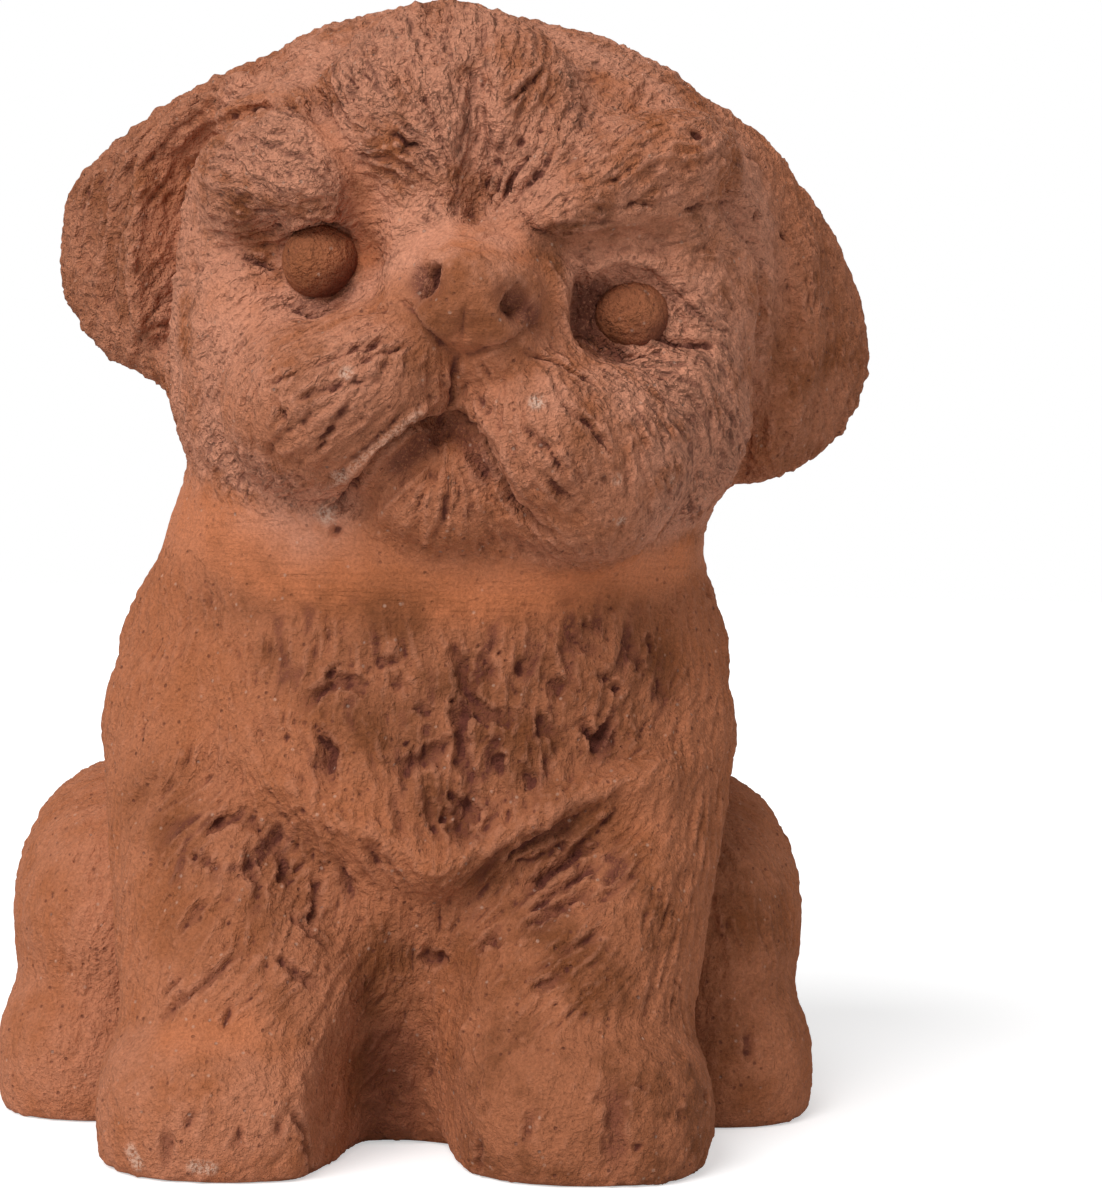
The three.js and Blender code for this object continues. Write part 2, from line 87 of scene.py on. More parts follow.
# The pieces, by the group that is finished together
BODY_PIECES = ("torso_shell", "neck_coil")
HEAD_PIECES = (
    "head_shell",
    "forelock",
    "right_brow",
    "left_brow",
    "nose_pad",
    "right_flew",
    "left_flew",
    "chin",
)
EAR_PIECES = ("right_ear", "left_ear")
FORELIMB_PIECES = ("right_foreleg", "left_foreleg", "right_forepaw", "left_forepaw")
HIND_PIECES = ("right_haunch", "left_haunch", "right_hind_paw", "left_hind_paw", "tail")
EYE_PIECES = ("right_eyeball", "left_eyeball")
JOINED_PIECES = BODY_PIECES + HEAD_PIECES + EAR_PIECES + FORELIMB_PIECES + HIND_PIECES
WIPED_PIECES = ("neck_coil", "nose_pad") + EYE_PIECES

BLANK_NAME = "clay_blank"
PART_PREFIX = "part_"

# For each piece: the depth of its combed fur, how crumbly it is, and how pale it is painted, for dust and for
# painted light
Surface = namedtuple("Surface", "fur crumb dust")
SURFACES = {
    "torso_shell": Surface(1.0, 0.35, 0.15),
    "neck_coil": Surface(0.35, 0.3, 0.35),
    "head_shell": Surface(0.9, 0.7, 1.0),
    "forelock": Surface(1.2, 1.0, 1.0),
    "right_brow": Surface(1.0, 1.1, 1.0),
    "left_brow": Surface(1.0, 0.9, 0.9),
    "nose_pad": Surface(0.35, 0.5, 0.25),
    "right_flew": Surface(1.0, 0.6, 0.35),
    "left_flew": Surface(1.0, 0.65, 0.5),
    "chin": Surface(1.1, 0.5, 0.25),
    "right_ear": Surface(1.0, 1.2, 0.5),
    "left_ear": Surface(0.9, 0.9, 0.35),
    "right_foreleg": Surface(0.95, 0.35, 0.2),
    "left_foreleg": Surface(1.0, 0.35, 0.15),
    "right_forepaw": Surface(0.45, 0.6, 0.4),
    "left_forepaw": Surface(0.45, 0.5, 0.15),
    "right_haunch": Surface(0.6, 0.4, 0.35),
    "left_haunch": Surface(0.7, 0.4, 0.2),
    "right_hind_paw": Surface(0.3, 0.5, 0.4),
    "left_hind_paw": Surface(0.35, 0.5, 0.2),
    "tail": Surface(0.7, 0.5, 0.3),
}

# A drawn mark: its path in the photograph's pixels, its width and depth in millimetres.
# A negative depth raises a ridge. For a place, which only masks the clay, the depth is a strength.
Mark = namedtuple("Mark", "path width depth")

# Soft lumps and hollows, worked with the thumb before any line is drawn
THUMBED_FORMS = {
    "right_brow_mass": Mark(((228, 172), (262, 158), (306, 168)), 34, -4.6),
    "left_brow_mass": Mark(((545, 204), (572, 172), (618, 146), (690, 140)), 28, -4.4),
    "forelock_mass": Mark(((362, 112), (425, 108)), 40, -3.2),
    "left_forelock": Mark(((520, 100), (540, 130)), 24, -1.6),
    "right_brow_valley": Mark(((322, 112), (331, 145), (352, 178), (366, 219), (366, 250)), 15, 3.6),
    "left_brow_valley": Mark(((545, 96), (528, 140), (512, 196)), 13, 1.6),
    "forehead_furrow": Mark(((472, 80), (478, 120), (480, 165), (474, 212)), 11, 3.8),
    "crown_notch": Mark(((432, 12), (437, 48)), 12, 1.8),
    "right_under_brow": Mark(((228, 246), (285, 238), (340, 240)), 12, 1.6),
    "left_under_brow": Mark(((548, 250), (600, 250), (668, 244)), 12, 2.6),
    "right_eye_dish": Mark(((288, 264), (326, 266)), 32, 4.8),
    "left_eye_dish": Mark(((610, 312), (645, 318)), 28, 7.8),
    "right_eye_outer_hollow": Mark(((244, 256), (272, 266)), 13, 1.6),
    "left_eye_outer_hollow": Mark(((680, 336), (706, 342)), 12, 1.4),
    "left_eye_inner_hollow": Mark(((589, 292), (586, 336)), 10, 3.6),
    "right_tear_hollow": Mark(((366, 258), (372, 284)), 12, 0.8),
    "nose_bridge": Mark(((436, 232), (510, 244)), 30, -2.2),
    "nose_top": Mark(((418, 262), (530, 282)), 12, -1.0),
    "right_nose_wing": Mark(((398, 274), (400, 298)), 14, -2.2),
    "left_nose_wing": Mark(((552, 266), (562, 302), (578, 340)), 11, -2.4),
    "right_nose_edge": Mark(((408, 308), (428, 334), (452, 356)), 7, 1.8),
    "left_nose_edge": Mark(((538, 330), (512, 345), (470, 357)), 7, 1.8),
    "nose_tip": Mark(((458, 336), (460, 352)), 15, 2.4),
    "right_flew_mass": Mark(((410, 346), (360, 368), (306, 398)), 32, -3.4),
    "left_flew_mass": Mark(((498, 372), (530, 405), (552, 450)), 32, -3.8),
    "philtrum_hollow": Mark(((455, 364), (452, 410)), 8, 1.0),
    "mouth_apex": Mark(((444, 428), (459, 430)), 9, 2.6),
    "right_mouth_hollow": Mark(((430, 440), (392, 468), (358, 505)), 10, 1.8),
    "left_mouth_hollow": Mark(((474, 446), (494, 482), (528, 524)), 10, 1.8),
    "right_ear_groove": Mark(
        ((160, 340), (161, 290), (163, 246), (167, 204), (175, 169), (195, 144), (222, 121), (254, 106)),
        width=11,
        depth=6.2,
    ),
    "right_ear_upper_groove": Mark(((222, 90), (278, 54)), 10, 2.0),
    "right_ear_edge": Mark(
        ((146, 320), (144, 262), (142, 222), (147, 186), (158, 148), (190, 117), (244, 90)), 10, -4.4
    ),
    "left_ear_groove": Mark(
        ((735, 200), (760, 236), (769, 265), (766, 309), (763, 353), (755, 420), (745, 480)), 13, 4.4
    ),
    "right_ear_fold": Mark(((108, 168), (92, 212), (84, 262)), 10, 1.8),
    "right_paw_inner": Mark(((340, 1050), (340, 1100)), 16, -1.2),
    "left_paw_inner": Mark(((470, 1050), (466, 1100)), 16, -1.2),
    "under_left_bib": Mark(((622, 816), (545, 850), (484, 888)), 15, 1.8),
    "left_ear_edge": Mark(((800, 250), (806, 330), (790, 420)), 18, -2.8),
    "right_ear_dent": Mark(((148, 138), (124, 180), (113, 236), (104, 300)), 8, 2.6),
    "leg_recess": Mark(((392, 1010), (391, 1100)), 14, 1.4),
    "right_leg_fold": Mark(((135, 804), (189, 779), (244, 772)), 12, 1.5),
    "right_bib_arm": Mark(((246, 764), (330, 820), (436, 868)), 20, -3.4),
    "left_bib_arm": Mark(((655, 776), (560, 812), (442, 868)), 20, -3.6),
    "bib_hollow": Mark(((448, 710), (464, 800)), 40, 3.4),
    "right_bib_hollow": Mark(((372, 690), (398, 745)), 22, 1.4),
    "left_bib_hollow": Mark(((540, 690), (560, 740)), 24, 1.4),
    "under_bib": Mark(((440, 905), (446, 985)), 22, 1.8),
    "left_leg_hollow": Mark(((520, 900), (590, 850)), 26, 1.6),
    "right_leg_hollow": Mark(((285, 860), (320, 905)), 20, 1.4),
    "left_cheek_mass": Mark(((680, 400), (712, 450)), 46, -4.2),
    "right_cheek_mass": Mark(((215, 330), (250, 380)), 36, -1.4),
    "right_shoulder_swell": Mark(((190, 690), (240, 720)), 30, -1.2),
}

# Places where the thumb smooths one lump into the next
BLENDED_PLACES = {
    "nose_top": Mark(
        ((384, 306), (386, 270), (412, 246), (465, 236), (525, 250), (562, 286), (570, 324)), 24, 1.0
    ),
    "paw_web": Mark(((392, 1010), (394, 1110)), 30, 1.0),
}

# Creases and cuts of the face
FACE_CUTS = {
    "philtrum": Mark(((457, 356), (453, 385), (451, 414)), 2.8, 1.1),
    "right_mouth": Mark(((451, 415), (411, 430), (384, 451), (362, 476), (341, 506)), 4.4, 2.5),
    "left_mouth": Mark(((458, 416), (482, 439), (497, 470), (512, 500), (546, 534)), 4.4, 2.6),
    "right_lip": Mark(((438, 398), (400, 424), (362, 461), (344, 482)), 4.0, -1.6),
    "left_lip": Mark(((474, 408), (498, 437), (514, 470), (530, 500)), 4.0, -1.6),
    "right_upper_lid_crease": Mark(((292, 232), (320, 222), (348, 231)), 2.2, 0.2),
    "right_upper_lid": Mark(((276, 240), (294, 223), (322, 213), (350, 222), (364, 242)), 4.2, -1.3),
    "right_lower_lid": Mark(((278, 286), (296, 303), (322, 309), (352, 300)), 3.2, -0.8),
    "right_under_lid_crease": Mark(((280, 297), (300, 312), (324, 316)), 2.0, 0.6),
    "right_outer_slit": Mark(((239, 252), (258, 262), (279, 271)), 2.6, 1.4),
    "left_upper_lid": Mark(((578, 290), (598, 266), (628, 256), (656, 264), (674, 286)), 4.2, -1.2),
    "left_lower_lid_crease": Mark(((584, 330), (600, 349), (628, 358), (654, 352)), 2.6, 1.0),
    "left_outer_slit": Mark(((655, 337), (685, 343), (713, 345)), 2.6, 1.4),
    "left_under_eye_crease": Mark(((640, 369), (655, 376), (671, 378)), 2.0, 0.8),
    "bridge_wrinkle_upper": Mark(((462, 232), (480, 238), (497, 232)), 2.0, 0.5),
    "bridge_wrinkle_lower": Mark(((455, 243), (476, 250), (495, 245)), 2.0, 0.4),
    "right_nostril": Mark(((419, 281), (427, 288)), 13, 4.2),
    "left_nostril": Mark(((509, 296), (520, 308), (531, 316)), 10.5, 4.4),
    "right_nose_crease": Mark(((404, 302), (424, 330), (452, 356)), 2.6, 0.9),
    "left_nose_crease": Mark(((540, 322), (512, 342), (468, 356)), 2.6, 0.9),
    "nose_middle": Mark(((464, 306), (460, 348)), 2.4, 0.5),
}

# Grooves cut in the fur of the face
FACE_GROOVES = {
    "left_brow_crease": Mark(((596, 189), (610, 181), (624, 177)), 2.0, 0.7),
    "left_brow_curl": Mark(((626, 208), (637, 203), (648, 206)), 2.0, 0.7),
    "left_brow_lower_edge": Mark(((514, 208), (534, 230), (556, 238)), 3.0, 0.8),
    "left_temple_crease": Mark(((678, 213), (705, 205), (731, 201)), 2.0, 0.8),
    "right_temple_crease": Mark(((208, 128), (240, 112), (290, 104)), 3.0, 1.2),
    "forehead_groove_a": Mark(((512, 124), (496, 160), (478, 200)), 2.2, 0.7),
    "forehead_groove_b": Mark(((527, 132), (505, 168), (484, 208)), 2.2, 0.8),
    "forehead_groove_c": Mark(((542, 138), (518, 172), (496, 208)), 2.2, 0.8),
    "forehead_groove_d": Mark(((556, 146), (532, 178), (508, 210)), 2.2, 0.8),
    "forehead_groove_e": Mark(((548, 66), (526, 88), (502, 106)), 2.4, 0.9),
    "forehead_groove_f": Mark(((450, 170), (440, 138), (426, 104)), 2.2, 0.6),
    "forehead_groove_g": Mark(((432, 176), (416, 152), (392, 134)), 2.2, 0.6),
    "right_flew_groove_a": Mark(((308, 368), (352, 348), (390, 340)), 2.6, 1.1),
    "right_flew_groove_b": Mark(((352, 318), (392, 308)), 2.2, 0.8),
    "right_flew_groove_c": Mark(((350, 362), (384, 352), (414, 342)), 2.2, 0.9),
    "right_flew_groove_d": Mark(((266, 382), (296, 372)), 2.2, 0.8),
    "right_flew_groove_e": Mark(((300, 396), (344, 384), (384, 380)), 2.4, 0.9),
    "right_flew_groove_f": Mark(((276, 402), (284, 420)), 2.4, 0.9),
    "right_flew_groove_g": Mark(((300, 430), (312, 408)), 2.4, 0.9),
    "right_flew_groove_h": Mark(((318, 452), (334, 424), (352, 404)), 2.4, 1.0),
    "left_flew_groove_a": Mark(((478, 362), (490, 380)), 2.2, 0.8),
    "left_flew_groove_b": Mark(((474, 392), (484, 410)), 2.2, 0.8),
    "left_flew_groove_c": Mark(((520, 352), (560, 362), (594, 384)), 2.4, 0.9),
    "left_flew_groove_d": Mark(((520, 424), (548, 448), (566, 478)), 2.4, 0.9),
    "left_flew_groove_e": Mark(((560, 404), (592, 424), (612, 452)), 2.4, 0.8),
    "left_flew_groove_f": Mark(((548, 480), (566, 506)), 2.4, 0.8),
    "chin_stroke_a": Mark(((430, 458), (406, 480), (380, 508)), 2.2, 0.7),
    "chin_stroke_b": Mark(((438, 462), (424, 492), (410, 524)), 2.2, 0.7),
    "chin_stroke_c": Mark(((449, 464), (447, 496), (442, 530)), 2.2, 0.7),
    "chin_stroke_d": Mark(((461, 462), (470, 492), (478, 526)), 2.2, 0.7),
    "chin_stroke_e": Mark(((470, 458), (488, 482), (504, 512)), 2.2, 0.7),
    "chin_stroke_f": Mark(((432, 468), (414, 488), (396, 514)), 2.2, 0.7),
    "chin_stroke_g": Mark(((455, 472), (460, 500), (462, 528)), 2.2, 0.7),
    "right_ear_wrinkle_a": Mark(((122, 150), (106, 200), (98, 258)), 2.6, 1.1),
    "right_ear_wrinkle_b": Mark(((130, 200), (122, 250), (114, 300)), 2.6, 1.1),
    "right_ear_wrinkle_c": Mark(((92, 176), (80, 212), (78, 248)), 2.4, 0.9),
    "right_ear_wrinkle_d": Mark(((176, 112), (206, 92), (236, 76)), 2.4, 0.9),
    "chin_pit": Mark(((335, 531),), 4.2, 1.6),
    "temple_pit_a": Mark(((697, 133),), 3.4, 1.2),
    "temple_pit_b": Mark(((757, 218),), 3.4, 1.2),
    "temple_pit_c": Mark(((784, 236),), 3.0, 1.0),
}

# Cuts of the chest, the legs and the paws
BODY_CUTS = {
    "right_bib_ridge": Mark(((250, 764), (330, 815), (430, 864)), 8, -1.5),
    "left_bib_ridge": Mark(((650, 772), (560, 806), (500, 838), (446, 864)), 8, -1.7),
    "chest_wedge_upper": Mark(((459, 700), (462, 745), (472, 786)), 5.0, 2.2),
    "chest_wedge_lower": Mark(((472, 800), (464, 816), (456, 836)), 7.0, 2.4),
    "chest_band": Mark(((400, 768), (425, 757), (450, 742)), 5.0, 1.8),
    "chest_diagonal": Mark(((455, 646), (465, 690), (482, 709), (512, 722)), 4.0, 1.7),
    "chest_short_a": Mark(((481, 655), (494, 677)), 3.6, 1.4),
    "chest_groove_left": Mark(((630, 636), (644, 672)), 3.2, 1.3),
    "chest_notch_left": Mark(((584, 722), (596, 746), (612, 724)), 3.4, 1.5),
    "chest_short_b": Mark(((547, 755), (547, 781)), 3.0, 1.2),
    "chest_long_pit": Mark(((323, 734), (330, 772)), 5.4, 2.4),
    "chest_curve_right": Mark(((304, 709), (321, 690), (341, 680), (366, 687)), 4.2, 1.7),
    "chest_blot_a": Mark(((540, 720), (556, 734)), 5.4, 1.5),
    "chest_blot_b": Mark(((552, 680), (566, 690)), 4.6, 1.4),
    "chest_blot_c": Mark(((522, 664), (520, 676)), 4.2, 1.5),
    "chest_blot_d": Mark(((376, 664), (400, 659)), 4.2, 1.4),
    "chest_blot_e": Mark(((394, 680), (404, 686)), 4.4, 1.2),
    "chest_blot_f": Mark(((420, 700), (430, 716)), 4.6, 1.3),
    "chest_pit_b": Mark(((618, 690),), 4.0, 1.5),
    "chest_pit_c": Mark(((651, 645),), 3.6, 1.3),
    "chest_pit_d": Mark(((587, 624),), 3.4, 1.2),
    "chest_pit_e": Mark(((604, 672), (608, 682)), 3.4, 1.2),
    "chest_tuft_a": Mark(((494, 752), (500, 772)), 3.6, 1.3),
    "chest_tuft_b": Mark(((526, 770), (534, 786)), 3.4, 1.2),
    "chest_tuft_c": Mark(((392, 790), (404, 838)), 3.0, 1.0),
    "chest_tuft_d": Mark(((366, 842), (380, 872)), 3.4, 1.2),
    "chest_tuft_e": Mark(((426, 796), (436, 838)), 3.0, 1.1),
    "chest_tuft_f": Mark(((500, 800), (480, 840)), 3.0, 1.1),
    "chest_tuft_g": Mark(((574, 640), (600, 652)), 3.0, 1.0),
    "chest_tuft_h": Mark(((660, 676), (668, 704)), 3.0, 1.0),
    "left_leg_stroke_a": Mark(((511, 854), (544, 838), (578, 816)), 3.8, 1.7),
    "left_leg_stroke_b": Mark(((525, 891), (556, 868), (590, 842)), 4.0, 1.9),
    "left_leg_stroke_c": Mark(((555, 893), (595, 862)), 3.2, 1.5),
    "left_leg_stroke_d": Mark(((525, 924), (556, 910), (588, 890)), 3.8, 1.7),
    "left_leg_stroke_e": Mark(((531, 910), (565, 880)), 3.0, 1.3),
    "left_leg_stroke_f": Mark(((536, 990), (562, 972)), 3.4, 1.4),
    "left_leg_stroke_g": Mark(((534, 970), (551, 962)), 2.6, 1.0),
    "left_leg_stroke_h": Mark(((600, 900), (640, 870)), 2.8, 1.0),
    "left_leg_stroke_i": Mark(((560, 955), (600, 930)), 2.8, 1.0),
    "left_leg_stroke_j": Mark(((520, 868), (550, 850)), 2.6, 1.0),
    "left_leg_blot": Mark(((476, 950), (496, 936)), 5.0, 1.6),
    "leg_pit": Mark(((428, 959),), 6.0, 2.0),
    "right_leg_stroke_a": Mark(((278, 844), (289, 886)), 4.0, 1.7),
    "right_leg_stroke_b": Mark(((318, 882), (311, 925)), 3.8, 1.6),
    "right_leg_stroke_c": Mark(((209, 831), (244, 816)), 3.2, 1.2),
    "right_leg_stroke_d": Mark(((162, 1017), (200, 986), (242, 950)), 3.0, 1.3),
    "right_leg_stroke_e": Mark(((164, 995), (183, 976)), 2.6, 1.0),
    "right_leg_stroke_f": Mark(((224, 1028), (231, 1002)), 2.6, 1.0),
    "right_leg_stroke_g": Mark(((248, 850), (260, 898)), 3.0, 1.2),
    "right_leg_stroke_h": Mark(((180, 930), (205, 900)), 2.8, 1.0),
    "right_leg_stroke_i": Mark(((277, 957), (319, 988)), 3.6, 1.3),
    "right_leg_stroke_j": Mark(((292, 912), (330, 948)), 3.0, 1.1),
    "right_leg_stroke_k": Mark(((340, 862), (352, 900)), 3.2, 1.2),
    "right_leg_stroke_l": Mark(((190, 850), (222, 872)), 2.8, 0.9),
    "right_leg_stroke_m": Mark(((250, 812), (262, 836)), 3.0, 1.1),
    "right_toe_a": Mark(((166, 1134), (164, 1169)), 3.0, 1.3),
    "right_toe_b": Mark(((185, 1130), (196, 1110)), 2.6, 0.9),
    "right_toe_c": Mark(((240, 1128), (240, 1150)), 2.8, 1.1),
    "right_toe_d": Mark(((281, 1121), (279, 1138)), 2.6, 0.9),
    "right_toe_e": Mark(((292, 1108), (307, 1134), (311, 1173)), 3.2, 1.3),
    "left_toe_a": Mark(((526, 1140), (531, 1113)), 2.8, 1.1),
    "left_toe_b": Mark(((478, 1139), (477, 1176)), 3.2, 1.3),
    "left_toe_c": Mark(((613, 1084), (618, 1129), (618, 1168)), 7.0, 1.6),
    "left_toe_d": Mark(((680, 1108), (681, 1120)), 2.6, 0.9),
    "left_hind_toe": Mark(((748, 1032), (750, 1058)), 3.0, 1.2),
    "left_hind_pit": Mark(((707, 1094),), 4.0, 1.4),
}

# Places where the fur is cut deep into tufts
TUFTED_PLACES = {
    "chest": Mark(((350, 690), (460, 720), (600, 680)), 46, 1.0),
    "chest_top": Mark(((290, 640), (400, 634), (530, 636)), 22, 0.6),
    "bib_point": Mark(((440, 780), (480, 800)), 30, 0.8),
    "left_leg_top": Mark(((520, 890), (590, 860)), 30, 0.8),
    "right_leg_top": Mark(((210, 840), (300, 880)), 30, 0.8),
    "chin": Mark(((440, 480),), 22, 0.8),
    "jaw": Mark(((560, 470), (640, 480)), 24, 0.6),
    "right_jaw": Mark(((270, 430), (320, 480)), 26, 0.4),
    "forehead": Mark(((430, 150), (520, 140)), 32, 0.8),
}

# Places painted darker and browner: stains of the firing, and painted shade on the side away from the key
# light, under the brows, the head and the jaw, and between the legs
STAIN_AND_SHADE_PLACES = {
    "chest": Mark(((390, 670), (470, 740), (620, 680)), 52, 1.2),
    "bib_point": Mark(((450, 780), (480, 810)), 34, 0.8),
    "left_leg": Mark(((530, 860), (600, 920), (640, 1010)), 52, 1.0),
    "left_leg_low": Mark(((480, 940), (500, 1010)), 34, 0.7),
    "right_leg_inner": Mark(((280, 870), (310, 960), (330, 1000)), 34, 0.7),
    "between_legs": Mark(((390, 960), (390, 1100)), 28, 1.0),
    "right_leg_top": Mark(((150, 800), (230, 860)), 28, 0.6),
    "left_side": Mark(((690, 760), (690, 880)), 28, 0.5),
    "right_flew": Mark(((330, 410), (390, 400)), 34, 1.0),
    "left_flew": Mark(((530, 420), (590, 450)), 30, 0.5),
    "right_brow_foot": Mark(((230, 225), (250, 205)), 22, 0.6),
    "nose": Mark(((440, 318), (490, 310)), 30, 0.8),
    "right_ear": Mark(((96, 190), (112, 290)), 46, 0.55),
    "right_leg": Mark(((200, 900), (230, 1000)), 40, 0.35),
    "left_paw": Mark(((510, 1090), (660, 1120)), 60, 1.2),
    "forehead_foot": Mark(((420, 180), (470, 190)), 22, 0.4),
    "left_haunch": Mark(((730, 860), (745, 990)), 60, 0.8),
    "neck": Mark(((225, 578), (290, 598)), 28, 1.0),
    "chest_top": Mark(((290, 652), (400, 648), (530, 650)), 26, 1.0),
    "left_under_brow": Mark(((560, 242), (620, 234), (680, 232)), 20, 1.1),
    "left_temple": Mark(((690, 250), (716, 290)), 30, 0.7),
    "right_brow_valley": Mark(((322, 125), (345, 175), (362, 215)), 18, 1.0),
    "left_hind_paw": Mark(((750, 1050), (710, 1090)), 44, 0.5),
    "left_ear": Mark(((820, 300), (826, 400)), 54, 0.55),
}

# Recesses painted dark as shade
PAINTED_SHADE_HOLLOWS = {
    "left_eye_pit": Mark(((590, 292), (584, 320), (592, 346), (612, 356)), 11, 1.0),
    "right_eye_pit": Mark(((350, 290), (330, 306), (304, 304)), 7, 0.8),
    "right_nostril": Mark(((421, 280), (428, 288)), 9, 1.0),
    "left_nostril": Mark(((512, 300), (522, 309), (532, 316)), 8, 1.0),
    "right_mouth": Mark(((449, 424), (424, 442), (398, 464)), 8, 0.9),
    "left_mouth": Mark(((452, 424), (474, 446), (486, 470)), 8, 0.9),
    "between_legs": Mark(((391, 1045), (391, 1122)), 18, 0.6),
    "right_ear_groove": Mark(((163, 240), (168, 204), (176, 170), (196, 145), (226, 120)), 6, 0.25),
}

# Places painted paler: dust on the clay, and painted light on the cheek and the jaw that turn away from the
# key light
DUST_AND_LIGHT_PLACES = {
    "left_cheek": Mark(((690, 380), (700, 450)), 54, 1.6),
    "right_cheek": Mark(((250, 340), (330, 350)), 40, 0.4),
    "right_jaw": Mark(((235, 465), (300, 505)), 32, 1.3),
    "bridge": Mark(((415, 240), (500, 250)), 22, 1.0),
    "forehead": Mark(((370, 90), (440, 100)), 44, 0.5),
    "right_brow": Mark(((246, 165), (292, 165)), 34, 0.5),
    "under_left_eye": Mark(((580, 385), (640, 400)), 30, 0.5),
}

# Places wiped smooth with a wet finger
WIPED_PLACES = {
    "neck_band": Mark(((215, 545), (280, 580), (380, 600), (480, 600), (580, 590), (680, 560)), 15, 1.0),
    "nose": Mark(((442, 302), (498, 314), (460, 335)), 16, 0.6),
    "bridge": Mark(((400, 235), (450, 235), (520, 250)), 14, 0.4),
    "right_brow_valley": Mark(((320, 127), (355, 178), (367, 219), (364, 257)), 9, 0.9),
    "right_ear_groove": Mark(((162, 250), (175, 169), (222, 121), (270, 104)), 8, 0.4),
    "left_eyelid": Mark(((558, 246), (610, 235), (675, 222)), 10, 0.5),
    "right_wrist": Mark(((177, 1038), (242, 1034)), 14, 0.7),
    "right_cheek": Mark(((215, 300), (260, 318)), 14, 0.5),
}

# Specks of lime in the clay
LIME_SPECKS = {
    "right_flew_speck": Mark(((346, 373),), 4.0, 0.9),
    "left_flew_speck": Mark(((537, 402),), 4.6, 1.0),
    "right_lip_streak": Mark(((420, 412), (352, 468), (330, 490)), 2.6, 0.42),
    "chin_speck_a": Mark(((341, 476),), 6.0, 0.8),
    "chin_speck_b": Mark(((326, 515),), 6.0, 0.9),
    "jaw_speck_a": Mark(((622, 522),), 3.4, 0.8),
    "jaw_speck_b": Mark(((674, 479),), 3.0, 0.6),
    "jaw_speck_c": Mark(((616, 479),), 3.0, 0.6),
    "paw_speck_a": Mark(((131, 1151), (138, 1164)), 4.0, 0.8),
    "paw_speck_b": Mark(((194, 1167), (211, 1169)), 4.0, 0.8),
}

# Where the strokes of the face and of the chin spread from
FACE_STROKE_ROOT = (472, 240)
CHIN_STROKE_ROOT = (451, 418)

# For each rolled ball: the pixel of its middle, how far it sinks along the sight line, and its brown stain
# with painted shade
Ball = namedtuple("Ball", "pixel sink stain")
BALLS = {
    "right_eyeball": Ball((320, 261), 2.6 * MM, 0.5),
    "left_eyeball": Ball((632, 317), 5.8 * MM, 1.0),
}
BALL_SUBDIVISIONS = 6
BALL_LIE = (0.35, 0.0, -1.0)
BALL_STREAK_GAIN = 1.4
# How the ball is painted darker as shade: towards which side, all over, and how much more on that side
BALL_SHADE_WAY = (0.62, 0.2, -0.75)
BALL_SOCKET_SHADE = 0.4
BALL_SHADE_HOLLOW = 2.0
BALL_SURFACE = {"fur": 0.7, "crumb": 0.9, "dust": 0.1, "wiped": 0.1, "lime": 0.0, "blot": 0.0}

# The cores that fill the head and the sockets
HEAD_CORE_SHARE = 0.84
SOCKET_PLUG_RADIUS = 11.0 * MM
SOCKET_PLUG_DEPTH = 7.0 * MM
PLUG_SUBDIVISIONS = 4

# The web of clay between the forepaws
PAW_WEB_FOOT = Vector((-8.0, -18.0, 0.0)) * MM
PAW_WEB_HALF_WIDTH = 15.0 * MM
PAW_WEB_HALF_DEPTH = 14.0 * MM
PAW_WEB_HEIGHT = 46.0 * MM
PAW_WEB_TOP_SHARE = 0.7
PAW_WEB_SEGMENTS = 48

# The notch between the forepaws, and how far round it the clay is softened
NOTCH_MIDDLE = -8.0 * MM
NOTCH_BACK = -31.0 * MM
NOTCH_SPLAY = 0.32
NOTCH_TOP = 54.0 * MM
NOTCH_FADE = 34.0 * MM
NOTCH_ROUNDS = 26
NOTCH_SOFT_ASIDE = 32.0 * MM
NOTCH_SOFT_ASIDE_FADE = 10.0 * MM
NOTCH_SOFT_TOP = 62.0 * MM
NOTCH_SOFT_TOP_FADE = 14.0 * MM
NOTCH_SOFT_BACK = NOTCH_BACK + 10.0 * MM
NOTCH_SOFT_BACK_FADE = 8.0 * MM

# Joining the lumps: merging doubles, filling creases, softening, and wiping the neck
DOUBLES_REACH = 0.005 * MM
BLANK_ROUNDS = 3
LUTING_SPREAD = 14
LUTING_LIMIT = 2.0 * MM
LUTING_STRENGTH = 0.9
FACE_LUTING_HOLD = 0.45
FACE_LUTING_ROUNDS = 6
NECK_REACH_ROUNDS = 40
NECK_REACH_GAIN = 3.0
OWNER_ROUNDS = 14

# The flat base, which no tool moves
BASE_HEIGHT = 0.3 * MM
BASE_FACING = -0.8

# Drawing marks on the clay
PATH_STEP_PIXELS = 3.0
FACING_LIMIT = -0.2
RAGGED_REACH = 1.6
TAPER_LENGTH = 0.22
TAPER_END = 0.35
THUMB_SPREAD = 12
LIP_ROUNDS = 10
LIP_HEIGHT = 0.4
CUT_SPREAD = 8
PLACE_GAIN = 1.6

# For each set of cuts: how ragged its edges are and how deep it goes
Tool = namedtuple("Tool", "raggedness strength")
FACE_KNIFE = Tool(0.12, 1.6)
FACE_COMB = Tool(0.35, 1.35)
BODY_GOUGE = Tool(0.8, 1.3)

# How far the masks of the finish spread, in rounds, and how strong they are
HOLLOW_SHADE_ROUNDS = 4
HOLLOW_SHADE_GAIN = 1.3
FACE_CUT_SHARE = 0.5
CUT_SHADE_AND_DIRT_DEPTH = 1.4 * MM
OLD_DENT_SHADE_AND_DIRT_SHARE = 0.75
NECK_WIPED_SHARE = 0.6
NECK_WIPED_ROUNDS = 40
WIPED_ROUNDS = 26
STAIN_AND_SHADE_ROUNDS = 40
TUFT_ROUNDS = 12
PALE_ROUNDS = 30
SURFACE_ROUNDS = 20
DUST_AND_LIGHT_ROUNDS = 90
FINE_HOLLOW_ROUNDS = 6
FINE_HOLLOW_DEPTH = 0.35 * MM
BROAD_HOLLOW_ROUNDS = 70
BROAD_HOLLOW_DEPTH = 1.6 * MM

